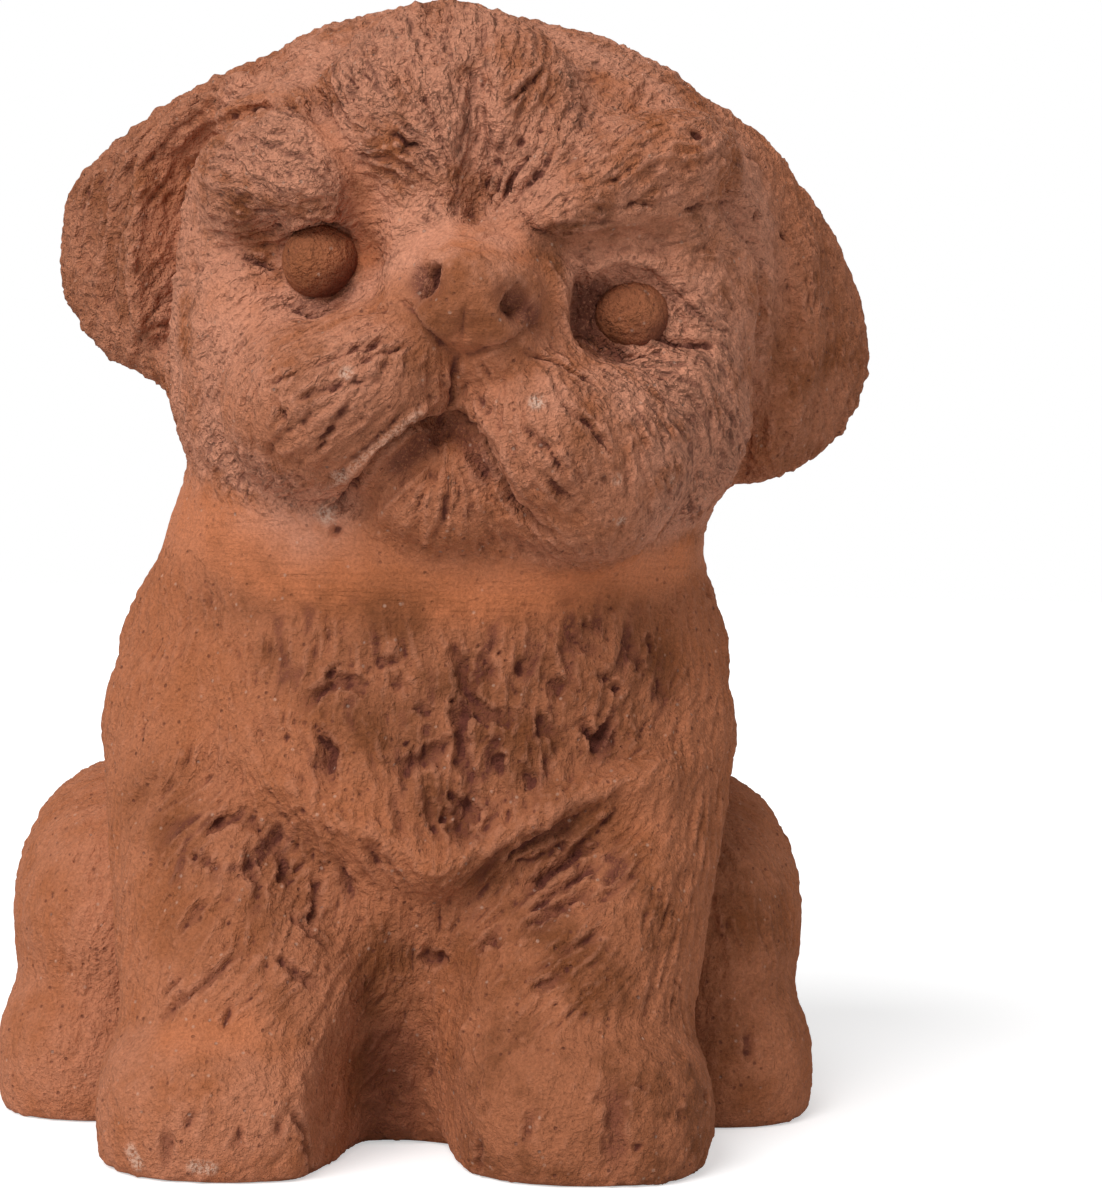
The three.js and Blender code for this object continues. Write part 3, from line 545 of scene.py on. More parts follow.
# A layer of smooth noise: the size of its swellings, where in the noise it starts, and its share
Layer = namedtuple("Layer", "size start share")
NOISE_SPREAD = (1.0, 1.7, 0.6)
RAGGED_EDGE = (Layer(3.4 * MM, 5.0, 1.0), Layer(1.6 * MM, 9.0, 0.6))
LIE_TURN = (Layer(11.0 * MM, 3.0, 0.75),)
FUR_PATCHES = (Layer(15.0 * MM, 71.0, 1.1),)
BROAD_WAVER = (Layer(13.0 * MM, 11.0, 0.9),)
FINE_WAVER = (Layer(4.5 * MM, 23.0, 0.8), Layer(2.0 * MM, 37.0, 0.9))
LEAST_CRUMB = 0.15
BALL_WAVER = (Layer(6.0 * MM, 51.0, 0.22 * MM), Layer(2.0 * MM, 53.0, 0.12 * MM))

# Noise drawn out along the fur: the width of its streaks, their reach to either side, and its start
Streak = namedtuple("Streak", "width reach start")
FURROW_STREAK = Streak(1.9 * MM, 3.4 * MM, 61.0)
BLOT_STREAK = Streak(5.0 * MM, 4.0 * MM, 91.0)
FINE_STREAK = Streak(1.3 * MM, 2.4 * MM, 131.0)
STREAK_STEPS = 5

# The lie of the fur: fixed on the limbs and the tail, and spreading from a root elsewhere
LEG_LIE = (-0.55, -0.1, -0.8)
PAW_LIE = (0.0, -0.8, -0.6)
HAUNCH_LIE = (0.0, 0.25, -1.0)
LIMB_LIES = {
    "right_foreleg": LEG_LIE,
    "left_foreleg": LEG_LIE,
    "right_forepaw": PAW_LIE,
    "left_forepaw": PAW_LIE,
    "right_haunch": HAUNCH_LIE,
    "left_haunch": HAUNCH_LIE,
    "right_hind_paw": PAW_LIE,
    "left_hind_paw": PAW_LIE,
    "tail": (1.0, 0.25, 0.15),
}
FACE_DROOP = 0.35
EAR_ROOT_RISE = 10.0 * MM
EAR_SPREAD = 0.2
CHEST_GATHER = 0.4
CHEST_GATHER_WIDTH = 50.0 * MM
LIE_ROUNDS = 30

# Combed strokes and pricked pits, in millimetres and in shares of the depth
STROKE_STEP = 0.9 * MM
STROKE_LENGTHS = (3.0, 10.0)
STROKE_HALF_WIDTHS = (0.85, 1.4)
STROKE_DEPTHS = (0.3, 1.0)
TUFT_BOLDNESS = (0.0, 0.8)
PIT_RADII = (0.9, 1.5)
PIT_DEPTHS = (0.3, 0.8)
BARE_PIT_SHARE = 0.3
STROKE_GAIN = 1.2
STROKE_LIP = 0.7
STROKE_LIP_ROUNDS = 8
WIPED_HOLD = 0.85
PATCH_MIDDLE = 0.75
PATCH_LIMITS = (0.15, 1.3)
TUFT_STROKES = 0.55
TUFT_FURROWS = 0.4
FURROW_LIMIT = 1.3

# Torn places in the tufts, which end below the neck
BLOT_TOP = 128.0 * MM
BLOT_FADE = 12.0 * MM
BLOT_FURROWS = 0.8
BLOT_START = 0.12
BLOT_RISE = 0.2
BLOT_TUFTS = 1.3

# How far the closing of a part is drawn towards the middle of the head or of the torso
HEAD_PULL = 0.5
PART_PULL = 0.12
PART_DOUBLES_REACH = 0.001 * MM

# The hollow of the base, in millimetres: height, half width, half depth and the middle's place in y
HOLLOW_MIDDLE_X = -5.19
HOLLOW_RINGS = (
    (0.0, 42.0, 47.0, 13.0),
    (38.0, 46.0, 49.0, 5.0),
    (84.0, 48.0, 43.0, -9.0),
    (108.0, 42.0, 33.0, -13.0),
    (122.0, 26.0, 20.0, -15.0),
)
FLAT_BASE_HEIGHT = 0.02 * MM

# The finish: the gloss of each clay, the depth of its relief, and the sizes of its grain, clouds and streaks
COMBED_SPECULAR = 0.12
WIPED_SPECULAR = 0.18
RELIEF_DEPTH = 0.6 * MM
GRAIN_SIZE = 0.7 * MM
CLOUD_SIZE = 16.0 * MM
PATCH_SIZE = 9.0 * MM
WIPE_STREAK_SIZE = 1.4 * MM
WIPE_STREAK_SHAPE = (0.12, 0.12, 1.0)

# Layers of fine strokes: the size of a cell, the length and width of its stroke, and a shift in metres
STROKE_LAYERS = (
    (4.4 * MM, 0.58, 0.13, 0.0),
    (3.0 * MM, 0.55, 0.15, 0.0317),
    (1.9 * MM, 0.5, 0.17, 0.0713),
)
STROKE_WAVER = 0.8

# What the patina and its painted shade and light read: colours of the scene, values kept on the clay, and
# masks worked out in the finish
PATINA_COLOURS = ("clay", "recess", "dusty", "stained", "wiped", "lime")
PATINA_VALUES = ("fine_hollow", "broad_hollow", "wiped", "dust", "stain", "lime", "blot")
PATINA_MASKS = ("strokes", "streak", "pits", "grog", "cloud", "grain", "crumbs")

# The stage
FLOOR_DROP = 0.05 * MM
WHITE = (1.0, 1.0, 1.0, 1.0)
CLIP_START = 0.01
CLIP_END = 50.0


class PuppyClay(bpy.types.PropertyGroup):
    """Sizes of the clay work."""

    coarse_grid: bpy.props.FloatProperty(
        name="Coarse grid", description="Grid on which the lumps are joined", default=1.4 * MM, unit="LENGTH"
    )
    fine_grid: bpy.props.FloatProperty(
        name="Fine grid", description="Grid of the tooled surface", default=0.76 * MM, unit="LENGTH"
    )
    quick_grid: bpy.props.FloatProperty(
        name="Quick grid", description="Grid of a quick look", default=1.5 * MM, unit="LENGTH"
    )
    lump_swell: bpy.props.FloatProperty(
        name="Lump swell",
        description="How far each lump grows to meet the next",
        default=0.5 * MM,
        unit="LENGTH",
    )
    luting_rounds: bpy.props.IntProperty(
        name="Luting rounds", description="How often the creases between lumps are filled", default=5
    )
    neck_rounds: bpy.props.IntProperty(
        name="Neck rounds", description="How often the coil of the neck is wiped", default=90
    )
    blending_rounds: bpy.props.IntProperty(
        name="Blending rounds", description="How often a lump is smoothed into the next", default=45
    )
    stroke_depth: bpy.props.FloatProperty(
        name="Stroke depth", description="Depth of a combed stroke of fur", default=0.8 * MM, unit="LENGTH"
    )
    stroke_count: bpy.props.IntProperty(
        name="Strokes", description="Number of combed strokes of fur", default=14000
    )
    furrow_depth: bpy.props.FloatProperty(
        name="Furrow depth",
        description="Height of the uneven lie of the fur",
        default=1.6 * MM,
        unit="LENGTH",
    )
    blot_depth: bpy.props.FloatProperty(
        name="Blot depth",
        description="Depth of the torn places in the tufts",
        default=0.9 * MM,
        unit="LENGTH",
    )
    pit_count: bpy.props.IntProperty(name="Pits", description="Number of small pits in the clay", default=700)
    hand_waver: bpy.props.FloatProperty(
        name="Hand waver",
        description="Unevenness that hands leave in the clay",
        default=0.55 * MM,
        unit="LENGTH",
    )
    seam_depth: bpy.props.FloatProperty(
        name="Seam depth",
        description="How deep a piece goes in under its edge",
        default=4.0 * MM,
        unit="LENGTH",
    )
    seed: bpy.props.IntProperty(name="Seed", description="Start of the random strokes", default=7)


class PuppyColours(bpy.types.PropertyGroup):
    """Colours of the fired clay and of the stage."""

    clay: bpy.props.FloatVectorProperty(
        name="Clay",
        description="Fired clay on plain surfaces",
        default=(0.385, 0.128, 0.054),
        subtype="COLOR",
    )
    # Dirt with painted shade in grooves and hollows
    recess: bpy.props.FloatVectorProperty(
        name="Recess", description="Clay in grooves", default=(0.11, 0.03, 0.022), subtype="COLOR"
    )
    # Also the colour of painted light on places turned from the light
    dusty: bpy.props.FloatVectorProperty(
        name="Dusty", description="Dusty clay on raised places", default=(0.6, 0.256, 0.156), subtype="COLOR"
    )
    # Also the colour of painted shade away from the light and under the head
    stained: bpy.props.FloatVectorProperty(
        name="Stained", description="Clay that fired brown", default=(0.185, 0.058, 0.021), subtype="COLOR"
    )
    # Lighter than the plain clay, partly as painted light on the neck under the chin
    wiped: bpy.props.FloatVectorProperty(
        name="Wiped", description="Clay wiped smooth", default=(0.62, 0.197, 0.078), subtype="COLOR"
    )
    lime: bpy.props.FloatVectorProperty(
        name="Lime", description="Specks of lime", default=(0.62, 0.42, 0.32), subtype="COLOR"
    )
    floor: bpy.props.FloatVectorProperty(
        name="Floor", description="Plain pale floor", default=(0.8, 0.8, 0.8), subtype="COLOR"
    )


class PuppyStage(bpy.types.PropertyGroup):
    """Light of the stage."""

    key: bpy.props.FloatProperty(name="Key", description="Strength of the soft key light", default=2.65)
    fill: bpy.props.FloatProperty(name="Fill", description="Strength of the light all round", default=0.4)
    floor_glow: bpy.props.FloatProperty(
        name="Floor glow", description="How far the floor is lifted to white for the camera", default=0.48
    )
    key_turn: bpy.props.FloatProperty(
        name="Key turn",
        description="How far the key light stands to the viewer's left",
        default=math.radians(32),
        subtype="ANGLE",
    )
    key_height: bpy.props.FloatProperty(
        name="Key height",
        description="How far the key light stands above the horizon",
        default=math.radians(39),
        subtype="ANGLE",
    )
    key_softness: bpy.props.FloatProperty(
        name="Key softness", description="Width of the key light", default=math.radians(38), subtype="ANGLE"
    )
    floor_size: bpy.props.FloatProperty(
        name="Floor size", description="Side of the floor", default=8.0, unit="LENGTH"
    )


def photo_axes():
    """The photograph's right, up and forward directions."""
    forward = (PHOTO_TARGET - PHOTO_EYE).normalized()
    level = forward.cross(Vector((0.0, 0.0, 1.0))).normalized()
    rise = level.cross(forward)
    right = level * math.cos(PHOTO_ROLL) + rise * math.sin(PHOTO_ROLL)
    up = rise * math.cos(PHOTO_ROLL) - level * math.sin(PHOTO_ROLL)
    return right, up, forward


PHOTO_RIGHT, PHOTO_UP, PHOTO_FORWARD = photo_axes()


def sight_line(pixel):
    """The direction in which the camera sees a pixel of the photograph."""
    across = (pixel[0] - PHOTO_WIDTH / 2) / PHOTO_FOCAL_PIXELS
    upward = (PHOTO_HEIGHT / 2 - pixel[1]) / PHOTO_FOCAL_PIXELS
    return (PHOTO_FORWARD + PHOTO_RIGHT * across + PHOTO_UP * upward).normalized()


def read_values(items, name, count, kind=np.float32):
    """The same value of many items, as one array."""
    values = np.empty(count, dtype=kind)
    items.foreach_get(name, values)
    return values


def unit_rows(rows):
    """Every row at length one."""
    return rows / np.maximum(np.linalg.norm(rows, axis=1), 1e-9)[:, None]


def falling(values, top, fade):
    """1 well below a top and 0 above it, with an even fade between."""
    return np.clip((top - values) / fade, 0.0, 1.0)


class Skin:
    """The points, edges and normals of a mesh as arrays, for moves made with many points at once."""

    def __init__(self, mesh):
        self.mesh = mesh
        self.count = len(mesh.vertices)
        ends = read_values(mesh.edges, "vertices", len(mesh.edges) * 2, np.int32)
        self.first = ends[0::2]
        self.second = ends[1::2]
        self.degree = np.maximum(np.bincount(ends, minlength=self.count), 1)
        self.points = self.read_rows(mesh.vertices, "co")
        self.normals = self.read_rows(mesh.vertex_normals, "vector")

    def read_rows(self, items, name):
        """A vector for every point."""
        return read_values(items, name, self.count * 3).reshape(-1, 3).astype(np.float64)

    def place(self, points):
        """Put the points back in the mesh, with nothing below the floor."""
        points[:, 2] = np.maximum(points[:, 2], 0.0)
        self.points = points
        self.mesh.vertices.foreach_set("co", points.astype(np.float32).ravel())
        self.mesh.update()
        self.normals = self.read_rows(self.mesh.vertex_normals, "vector")

    def blend_to(self, points, share):
        """Move every point by a share of its way to another place."""
        part = share[:, None]
        self.place(self.points * (1.0 - part) + points * part)

    def raise_by(self, rise, spread=0):
        """Move every point along the normals spread round it, apart from those of the flat base."""
        ways = unit_rows(self.soften(self.normals, spread))
        on_base = (self.points[:, 2] < BASE_HEIGHT) & (self.normals[:, 2] < BASE_FACING)
        lift = np.where(on_base, 0.0, rise)
        self.place(self.points + ways * lift[:, None])

    def mean_of_neighbours(self, values):
        """The mean of each point's neighbours, for one column of values."""
        total = np.bincount(self.first, weights=values[self.second], minlength=self.count)
        total += np.bincount(self.second, weights=values[self.first], minlength=self.count)
        return total / self.degree

    def soften(self, values, rounds):
        """Values spread over the surface, in that many rounds."""
        columns = values.reshape(self.count, -1).T.copy()
        for index, column in enumerate(columns):
            for _ in range(rounds):
                column = 0.5 * column + 0.5 * self.mean_of_neighbours(column)
            columns[index] = column
        return columns.T.reshape(values.shape)

    def hollowness(self, rounds):
        """How far each point lies below the softened surface round it."""
        drawn = self.soften(self.points, rounds) - self.points
        return np.einsum("ij,ij->i", drawn, self.normals)

    def store(self, name, values):
        """Keep values on the mesh's points under a name."""
        vector = values.ndim == 2
        old = self.mesh.attributes.get(name)
        if old is not None:
            self.mesh.attributes.remove(old)
        layer = self.mesh.attributes.new(name, "FLOAT_VECTOR" if vector else "FLOAT", "POINT")
        layer.data.foreach_set("vector" if vector else "value", values.astype(np.float32).ravel())

    def kept(self, name):
        """Single values that were kept on the mesh's points."""
        return read_values(self.mesh.attributes[name].data, "value", self.count).astype(np.float64)


def node_form(name):
    """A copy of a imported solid's mesh with its doubles merged."""
    form = bmesh.new()
    form.from_mesh(frame["nodes"][name].data)
    bmesh.ops.remove_doubles(form, verts=form.verts, dist=DOUBLES_REACH)
    return form


def fill_hollow(form):
    """Leave only the outer hull of a hollow form."""
    bmesh.ops.delete(form, geom=list(form.edges), context="EDGES_FACES")
    bmesh.ops.convex_hull(form, input=list(form.verts))
    bare = [corner for corner in form.verts if not corner.link_faces]
    bmesh.ops.delete(form, geom=bare, context="VERTS")


def lump_form(name):
    """A lump as it is joined, with the hollow of the torso filled."""
    form = node_form(name)
    if name == "torso_shell":
        fill_hollow(form)
    return form


def swell_lump(form, amount):
    """Grow a lump along its normals."""
    form.normal_update()
    moves = [corner.normal * amount for corner in form.verts]
    for corner, move in zip(list(form.verts), moves):
        corner.co += move


def even_out(piece, grid):
    """Give the clay one even skin on a grid."""
    skin = piece.modifiers.new("even_clay", "REMESH")
    skin.mode = "VOXEL"
    skin.voxel_size = grid
    graph = bpy.context.evaluated_depsgraph_get()
    made = bpy.data.meshes.new_from_object(piece.evaluated_get(graph))
    old = piece.data
    piece.modifiers.clear()
    piece.data = made
    bpy.data.meshes.remove(old)


def keep_outer_skin(piece):
    """Leave out the closed hollows inside the joined clay."""
    form = bmesh.new()
    form.from_mesh(piece.data)
    islands = []
    waiting = set(form.verts)
    while waiting:
        island = [waiting.pop()]
        for corner in island:
            for edge in corner.link_edges:
                other = edge.other_vert(corner)
                if other in waiting:
                    waiting.discard(other)
                    island.append(other)
        islands.append(island)
    islands.sort(key=len)
    for island in islands[:-1]:
        bmesh.ops.delete(form, geom=island, context="VERTS")
    form.to_mesh(piece.data)
    form.free()


def lute_creases(skin, rounds):
    """Fill the creases between the lumps, less on the face, and leave the rounded parts alone."""
    owners = nearest_pieces(skin)
    faces = {name: FACE_LUTING_HOLD for name in HEAD_PIECES if name != "head_shell"}
    hold = 1.0 - piece_share(skin, owners, faces, FACE_LUTING_ROUNDS)
    for _ in range(rounds):
        fill = np.clip(skin.hollowness(LUTING_SPREAD), 0.0, LUTING_LIMIT)
        skin.raise_by(fill * LUTING_STRENGTH * hold)


def wipe_neck(skin, rounds):
    """Wipe the coil of the neck into the jaw and the shoulders."""
    owners = nearest_pieces(skin)
    near = (owners == JOINED_PIECES.index("neck_coil")).astype(np.float64)
    reach = np.minimum(skin.soften(near, NECK_REACH_ROUNDS) * NECK_REACH_GAIN, 1.0)
    skin.blend_to(skin.soften(skin.points, rounds), reach)


def nearest_pieces(skin):
    """For every point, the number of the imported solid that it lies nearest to."""
    corners = []
    faces = []
    owners = []
    for number, name in enumerate(JOINED_PIECES):
        form = lump_form(name)
        form.verts.index_update()
        start = len(corners)
        corners.extend(corner.co.copy() for corner in form.verts)
        for face in form.faces:
            faces.append([start + corner.index for corner in face.verts])
            owners.append(number)
        form.free()
    tree = BVHTree.FromPolygons(corners, faces)
    found = np.empty(skin.count, dtype=np.int32)
    for index, point in enumerate(skin.points):
        found[index] = owners[tree.find_nearest(point)[2]]
    return found


def settle_owners(skin, owners, rounds):
    """Smooth the borders between the pieces, so that no stray islands are left."""
    best = np.full(skin.count, -1.0)
    settled = owners.copy()
    for number in range(len(JOINED_PIECES)):
        share = skin.soften((owners == number).astype(np.float64), rounds)
        better = share > best
        settled[better] = number
        best = np.where(better, share, best)
    return settled


def clay_tree(blank):
    """The clay's surface as it is now, for sight lines to meet."""
    return BVHTree.FromObject(blank, bpy.context.evaluated_depsgraph_get())


def drawn_path(tree, pixels, pixel_step):
    """The points and the mean normal where a path drawn in the photograph lies on the clay."""
    wanted = [pixels[0]]
    for start, end in zip(pixels, pixels[1:]):
        length = math.hypot(end[0] - start[0], end[1] - start[1])
        count = max(1, round(length / pixel_step))
        for index in range(1, count + 1):
            share = index / count
            wanted.append((start[0] + (end[0] - start[0]) * share, start[1] + (end[1] - start[1]) * share))
    points = []
    facing = Vector()
    for pixel in wanted:
        place, normal, _, _ = tree.ray_cast(PHOTO_EYE, sight_line(pixel))
        if place is not None:
            points.append(place)
            facing += normal
    return points, facing.normalized()


def closeness(skin, points, facing, reach):
    """For the points near a path: their numbers, their distance from it and their place along it, 0 to 1."""
    path = np.array([tuple(point) for point in points])
    low = path.min(axis=0) - reach
    high = path.max(axis=0) + reach
    inside = np.all((skin.points > low) & (skin.points < high), axis=1)
    inside &= skin.normals @ np.array(facing) > FACING_LIMIT
    numbers = np.nonzero(inside)[0]
    near = skin.points[numbers]
    distance = np.full(len(numbers), np.inf)
    along = np.zeros(len(numbers))
    if len(path) == 1:
        return numbers, np.linalg.norm(near - path[0], axis=1), np.full(len(numbers), 0.5)
    count = len(path) - 1
    for index in range(count):
        step = path[index + 1] - path[index]
        length = max(float(step @ step), 1e-12)
        share = np.clip(((near - path[index]) @ step) / length, 0.0, 1.0)
        gap = np.linalg.norm(near - path[index] - share[:, None] * step, axis=1)
        closer = gap < distance
        distance = np.where(closer, gap, distance)
        along = np.where(closer, (index + share) / count, along)
    return numbers, distance, along


def mark_weights(skin, tree, mark, taper, ragged=None):
    """The numbers of the points that a mark touches and its weight there, 0 to 1."""
    points, facing = drawn_path(tree, mark.path, PATH_STEP_PIXELS)
    if not points:
        raise RuntimeError("a drawn mark misses the clay")
    reach = mark.width * 0.5 * MM
    searched = reach if ragged is None else reach * RAGGED_REACH
    numbers, distance, along = closeness(skin, points, facing, searched)
    if ragged is not None:
        distance = distance * (1.0 + ragged[numbers])
    share = np.clip(1.0 - (distance / reach) ** 2, 0.0, 1.0)
    weight = share * share
    if taper and len(points) > 1:
        ends = np.clip(np.minimum(along, 1.0 - along) / TAPER_LENGTH, 0.0, 1.0)
        weight *= TAPER_END + (1.0 - TAPER_END) * ends
    return numbers, weight


def thumb_forms(blank, skin, marks):
    """Press and draw up the soft forms."""
    tree = clay_tree(blank)
    rise = np.zeros(skin.count)
    for mark in marks.values():
        numbers, weight = mark_weights(skin, tree, mark, False)
        rise[numbers] -= weight * mark.depth * MM
    skin.raise_by(rise, THUMB_SPREAD)


def open_notch(skin):
    """Spread the inner sides of the forepaws to the walls of a wedge-shaped notch."""
    points = skin.points.copy()
    aside = points[:, 0] - NOTCH_MIDDLE
    low = falling(points[:, 2], NOTCH_TOP, NOTCH_FADE)
    wall = np.clip(NOTCH_BACK - points[:, 1], 0.0, None) * NOTCH_SPLAY * low * low * (3.0 - 2.0 * low)
    inside = np.abs(aside) < wall
    points[inside, 0] = NOTCH_MIDDLE + np.sign(aside[inside]) * wall[inside]
    near = falling(np.abs(aside), NOTCH_SOFT_ASIDE, NOTCH_SOFT_ASIDE_FADE)
    near *= falling(points[:, 2], NOTCH_SOFT_TOP, NOTCH_SOFT_TOP_FADE)
    near *= falling(points[:, 1], NOTCH_SOFT_BACK, NOTCH_SOFT_BACK_FADE)
    soft = skin.soften(points, NOTCH_ROUNDS)
    soft[:, 2] = np.where(points[:, 2] < MM, points[:, 2], soft[:, 2])
    skin.place(points * (1.0 - near[:, None]) + soft * near[:, None])


def cut_marks(blank, skin, marks, tool):
    """Cut the drawn creases with ragged edges, each with a low lip, and give back how deep they are."""
    tree = clay_tree(blank)
    ragged = tool.raggedness * layered_noise(skin, RAGGED_EDGE)
    cut = np.zeros(skin.count)
    ridge = np.zeros(skin.count)
    for mark in marks.values():
        numbers, weight = mark_weights(skin, tree, mark, True, ragged)
        height = weight * mark.depth * MM
        cut[numbers] = np.maximum(cut[numbers], height)
        ridge[numbers] = np.maximum(ridge[numbers], -height)
    lip = skin.soften(cut, LIP_ROUNDS) * LIP_HEIGHT
    skin.raise_by(ridge + lip - cut * tool.strength, CUT_SPREAD)
    return cut


def place_mask(blank, skin, marks, rounds=0):
    """A mask that is strongest in the middle of the named places, fades out at their edges and is spread."""
    tree = clay_tree(blank)
    mask = np.zeros(skin.count)
    for mark in marks.values():
        numbers, weight = mark_weights(skin, tree, mark, False)
        mask[numbers] = np.maximum(mask[numbers], np.minimum(weight * PLACE_GAIN, 1.0) * mark.depth)
    return skin.soften(mask, rounds)


def piece_share(skin, owners, shares, rounds):
    """A value for each piece, softened across the borders."""
    table = np.array([shares.get(name, 0.0) for name in JOINED_PIECES])
    return skin.soften(table[owners], rounds)


def surface_direction(skin, rows):
    """Directions laid flat on the surface."""
    flat = rows - skin.normals * np.einsum("ij,ij->i", rows, skin.normals)[:, None]
    return unit_rows(flat)


def noise_at(points, size, start):
    """Smooth noise at points, about -1 to 1, with swellings of that size."""
    places = points / size + np.array([start * spread for spread in NOISE_SPREAD])
    return np.array([noise.noise(place) for place in places.tolist()])


def layered_noise(skin, layers):
    """Layers of smooth noise over the surface, by their shares."""
    return sum(layer.share * noise_at(skin.points, layer.size, layer.start) for layer in layers)


def streaked_noise(skin, flow, streak):
    """Noise drawn out along the lie of the fur."""
    steps = np.linspace(-streak.reach, streak.reach, STREAK_STEPS)
    layers = (noise_at(skin.points + flow * step, streak.width, streak.start) for step in steps)
    return sum(layers) / STREAK_STEPS


def piece_lie(name, points, normals, face_root, chin_root):
    """The way that the fur of one piece lies, before it is laid flat on the clay."""
    if name == "chin":
        return points - chin_root
    if name in HEAD_PIECES:
        lie = unit_rows(points - face_root)
        lie[:, 2] -= np.where(points[:, 2] < face_root[2], FACE_DROOP, 0.0)
        return lie
    if name in EAR_PIECES:
        low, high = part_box(name)
        on_left = name == "left_ear"
        root = np.array((low.x if on_left else high.x, (low.y + high.y) / 2, high.z + EAR_ROOT_RISE))
        lie = unit_rows(points - root)
        lie[:, 0] += EAR_SPREAD if on_left else -EAR_SPREAD
        return lie
    if name == "neck_coil":
        return np.column_stack((-normals[:, 1], normals[:, 0], np.zeros(len(points))))
    if name == "torso_shell":
        lie = np.zeros_like(points)
        lie[:, 0] = -CHEST_GATHER * np.clip((points[:, 0] - face_root[0]) / CHEST_GATHER_WIDTH, -1.0, 1.0)
        lie[:, 2] = -1.0
        return lie
    return np.tile(LIMB_LIES[name], (len(points), 1))


def fur_flow(blank, skin, owners):
    """The way that the fur lies at every point."""
    tree = clay_tree(blank)
    face_root = np.array(drawn_path(tree, (FACE_STROKE_ROOT,), 1)[0][0])
    chin_root = np.array(drawn_path(tree, (CHIN_STROKE_ROOT,), 1)[0][0])
    guide = np.zeros((skin.count, 3))
    for number, name in enumerate(JOINED_PIECES):
        rows = owners == number
        lie = piece_lie(name, skin.points[rows], skin.normals[rows], face_root, chin_root)
        guide[rows] = unit_rows(lie)
    lie = surface_direction(skin, guide)
    lie = surface_direction(skin, skin.soften(lie, LIE_ROUNDS))
    across = np.cross(skin.normals, lie)
    turn = layered_noise(skin, LIE_TURN)
    return unit_rows(lie * np.cos(turn)[:, None] + across * np.sin(turn)[:, None])


def press_round(tree, cut, place, radius, depth):
    """Deepen the clay round a place, most in the middle."""
    for _, found, distance in tree.find_range(place, radius):
        value = depth * (1.0 - (distance / radius) ** 2)
        if value > cut[found]:
            cut[found] = value


def comb_strokes(skin, flow, share, tufted, sizes):
    """Comb seeded strokes into the clay along the lie of the fur, and prick small pits."""
    draw = random.Random(sizes.seed)
    tree = kdtree.KDTree(skin.count)
    places = [Vector(point) for point in skin.points]
    for index, place in enumerate(places):
        tree.insert(place, index)
    tree.balance()
    lies = [Vector(row) for row in flow]
    depths = share.tolist()
    bolds = tufted.tolist()
    cut = [0.0] * skin.count
    for _ in range(sizes.stroke_count):
        index = draw.randrange(skin.count)
        bold = 1.0 + bolds[index] * draw.uniform(*TUFT_BOLDNESS)
        length = draw.uniform(*STROKE_LENGTHS) * MM * bold
        half_width = draw.uniform(*STROKE_HALF_WIDTHS) * MM * bold
        depth = depths[index] * draw.uniform(*STROKE_DEPTHS) * sizes.stroke_depth
        count = max(2, round(length / STROKE_STEP))
        place = places[index]
        heading = lies[index]
        for number in range(count):
            fade = math.sqrt(math.sin(math.pi * (number + 0.5) / count))
            press_round(tree, cut, place, half_width, depth * fade)
            place, index, _ = tree.find(place + heading * STROKE_STEP)
            turned = lies[index]
            heading = turned if turned.dot(heading) > 0.0 else -turned
    for _ in range(sizes.pit_count):
        index = draw.randrange(skin.count)
        radius = draw.uniform(*PIT_RADII) * MM
        depth = (BARE_PIT_SHARE + depths[index]) * draw.uniform(*PIT_DEPTHS) * MM
        press_round(tree, cut, places[index], radius, depth)
    made = np.array(cut)
    return made * STROKE_GAIN - STROKE_LIP * skin.soften(made, STROKE_LIP_ROUNDS)


def wavering_hand(skin, crumbly, sizes):
    """Unevenness of hand-worked clay, rougher where it crumbles."""
    broad = layered_noise(skin, BROAD_WAVER)
    fine = layered_noise(skin, FINE_WAVER)
    return sizes.hand_waver * (broad + fine * (LEAST_CRUMB + crumbly))


def clay_sizes():
    """The clay sizes of this scene."""
    return bpy.context.scene.puppy_clay


def blank_object():
    """The joined clay."""
    blank = bpy.data.objects.get(BLANK_NAME)
    if blank is None:
        raise RuntimeError("the clay blank has not been made")
    return blank


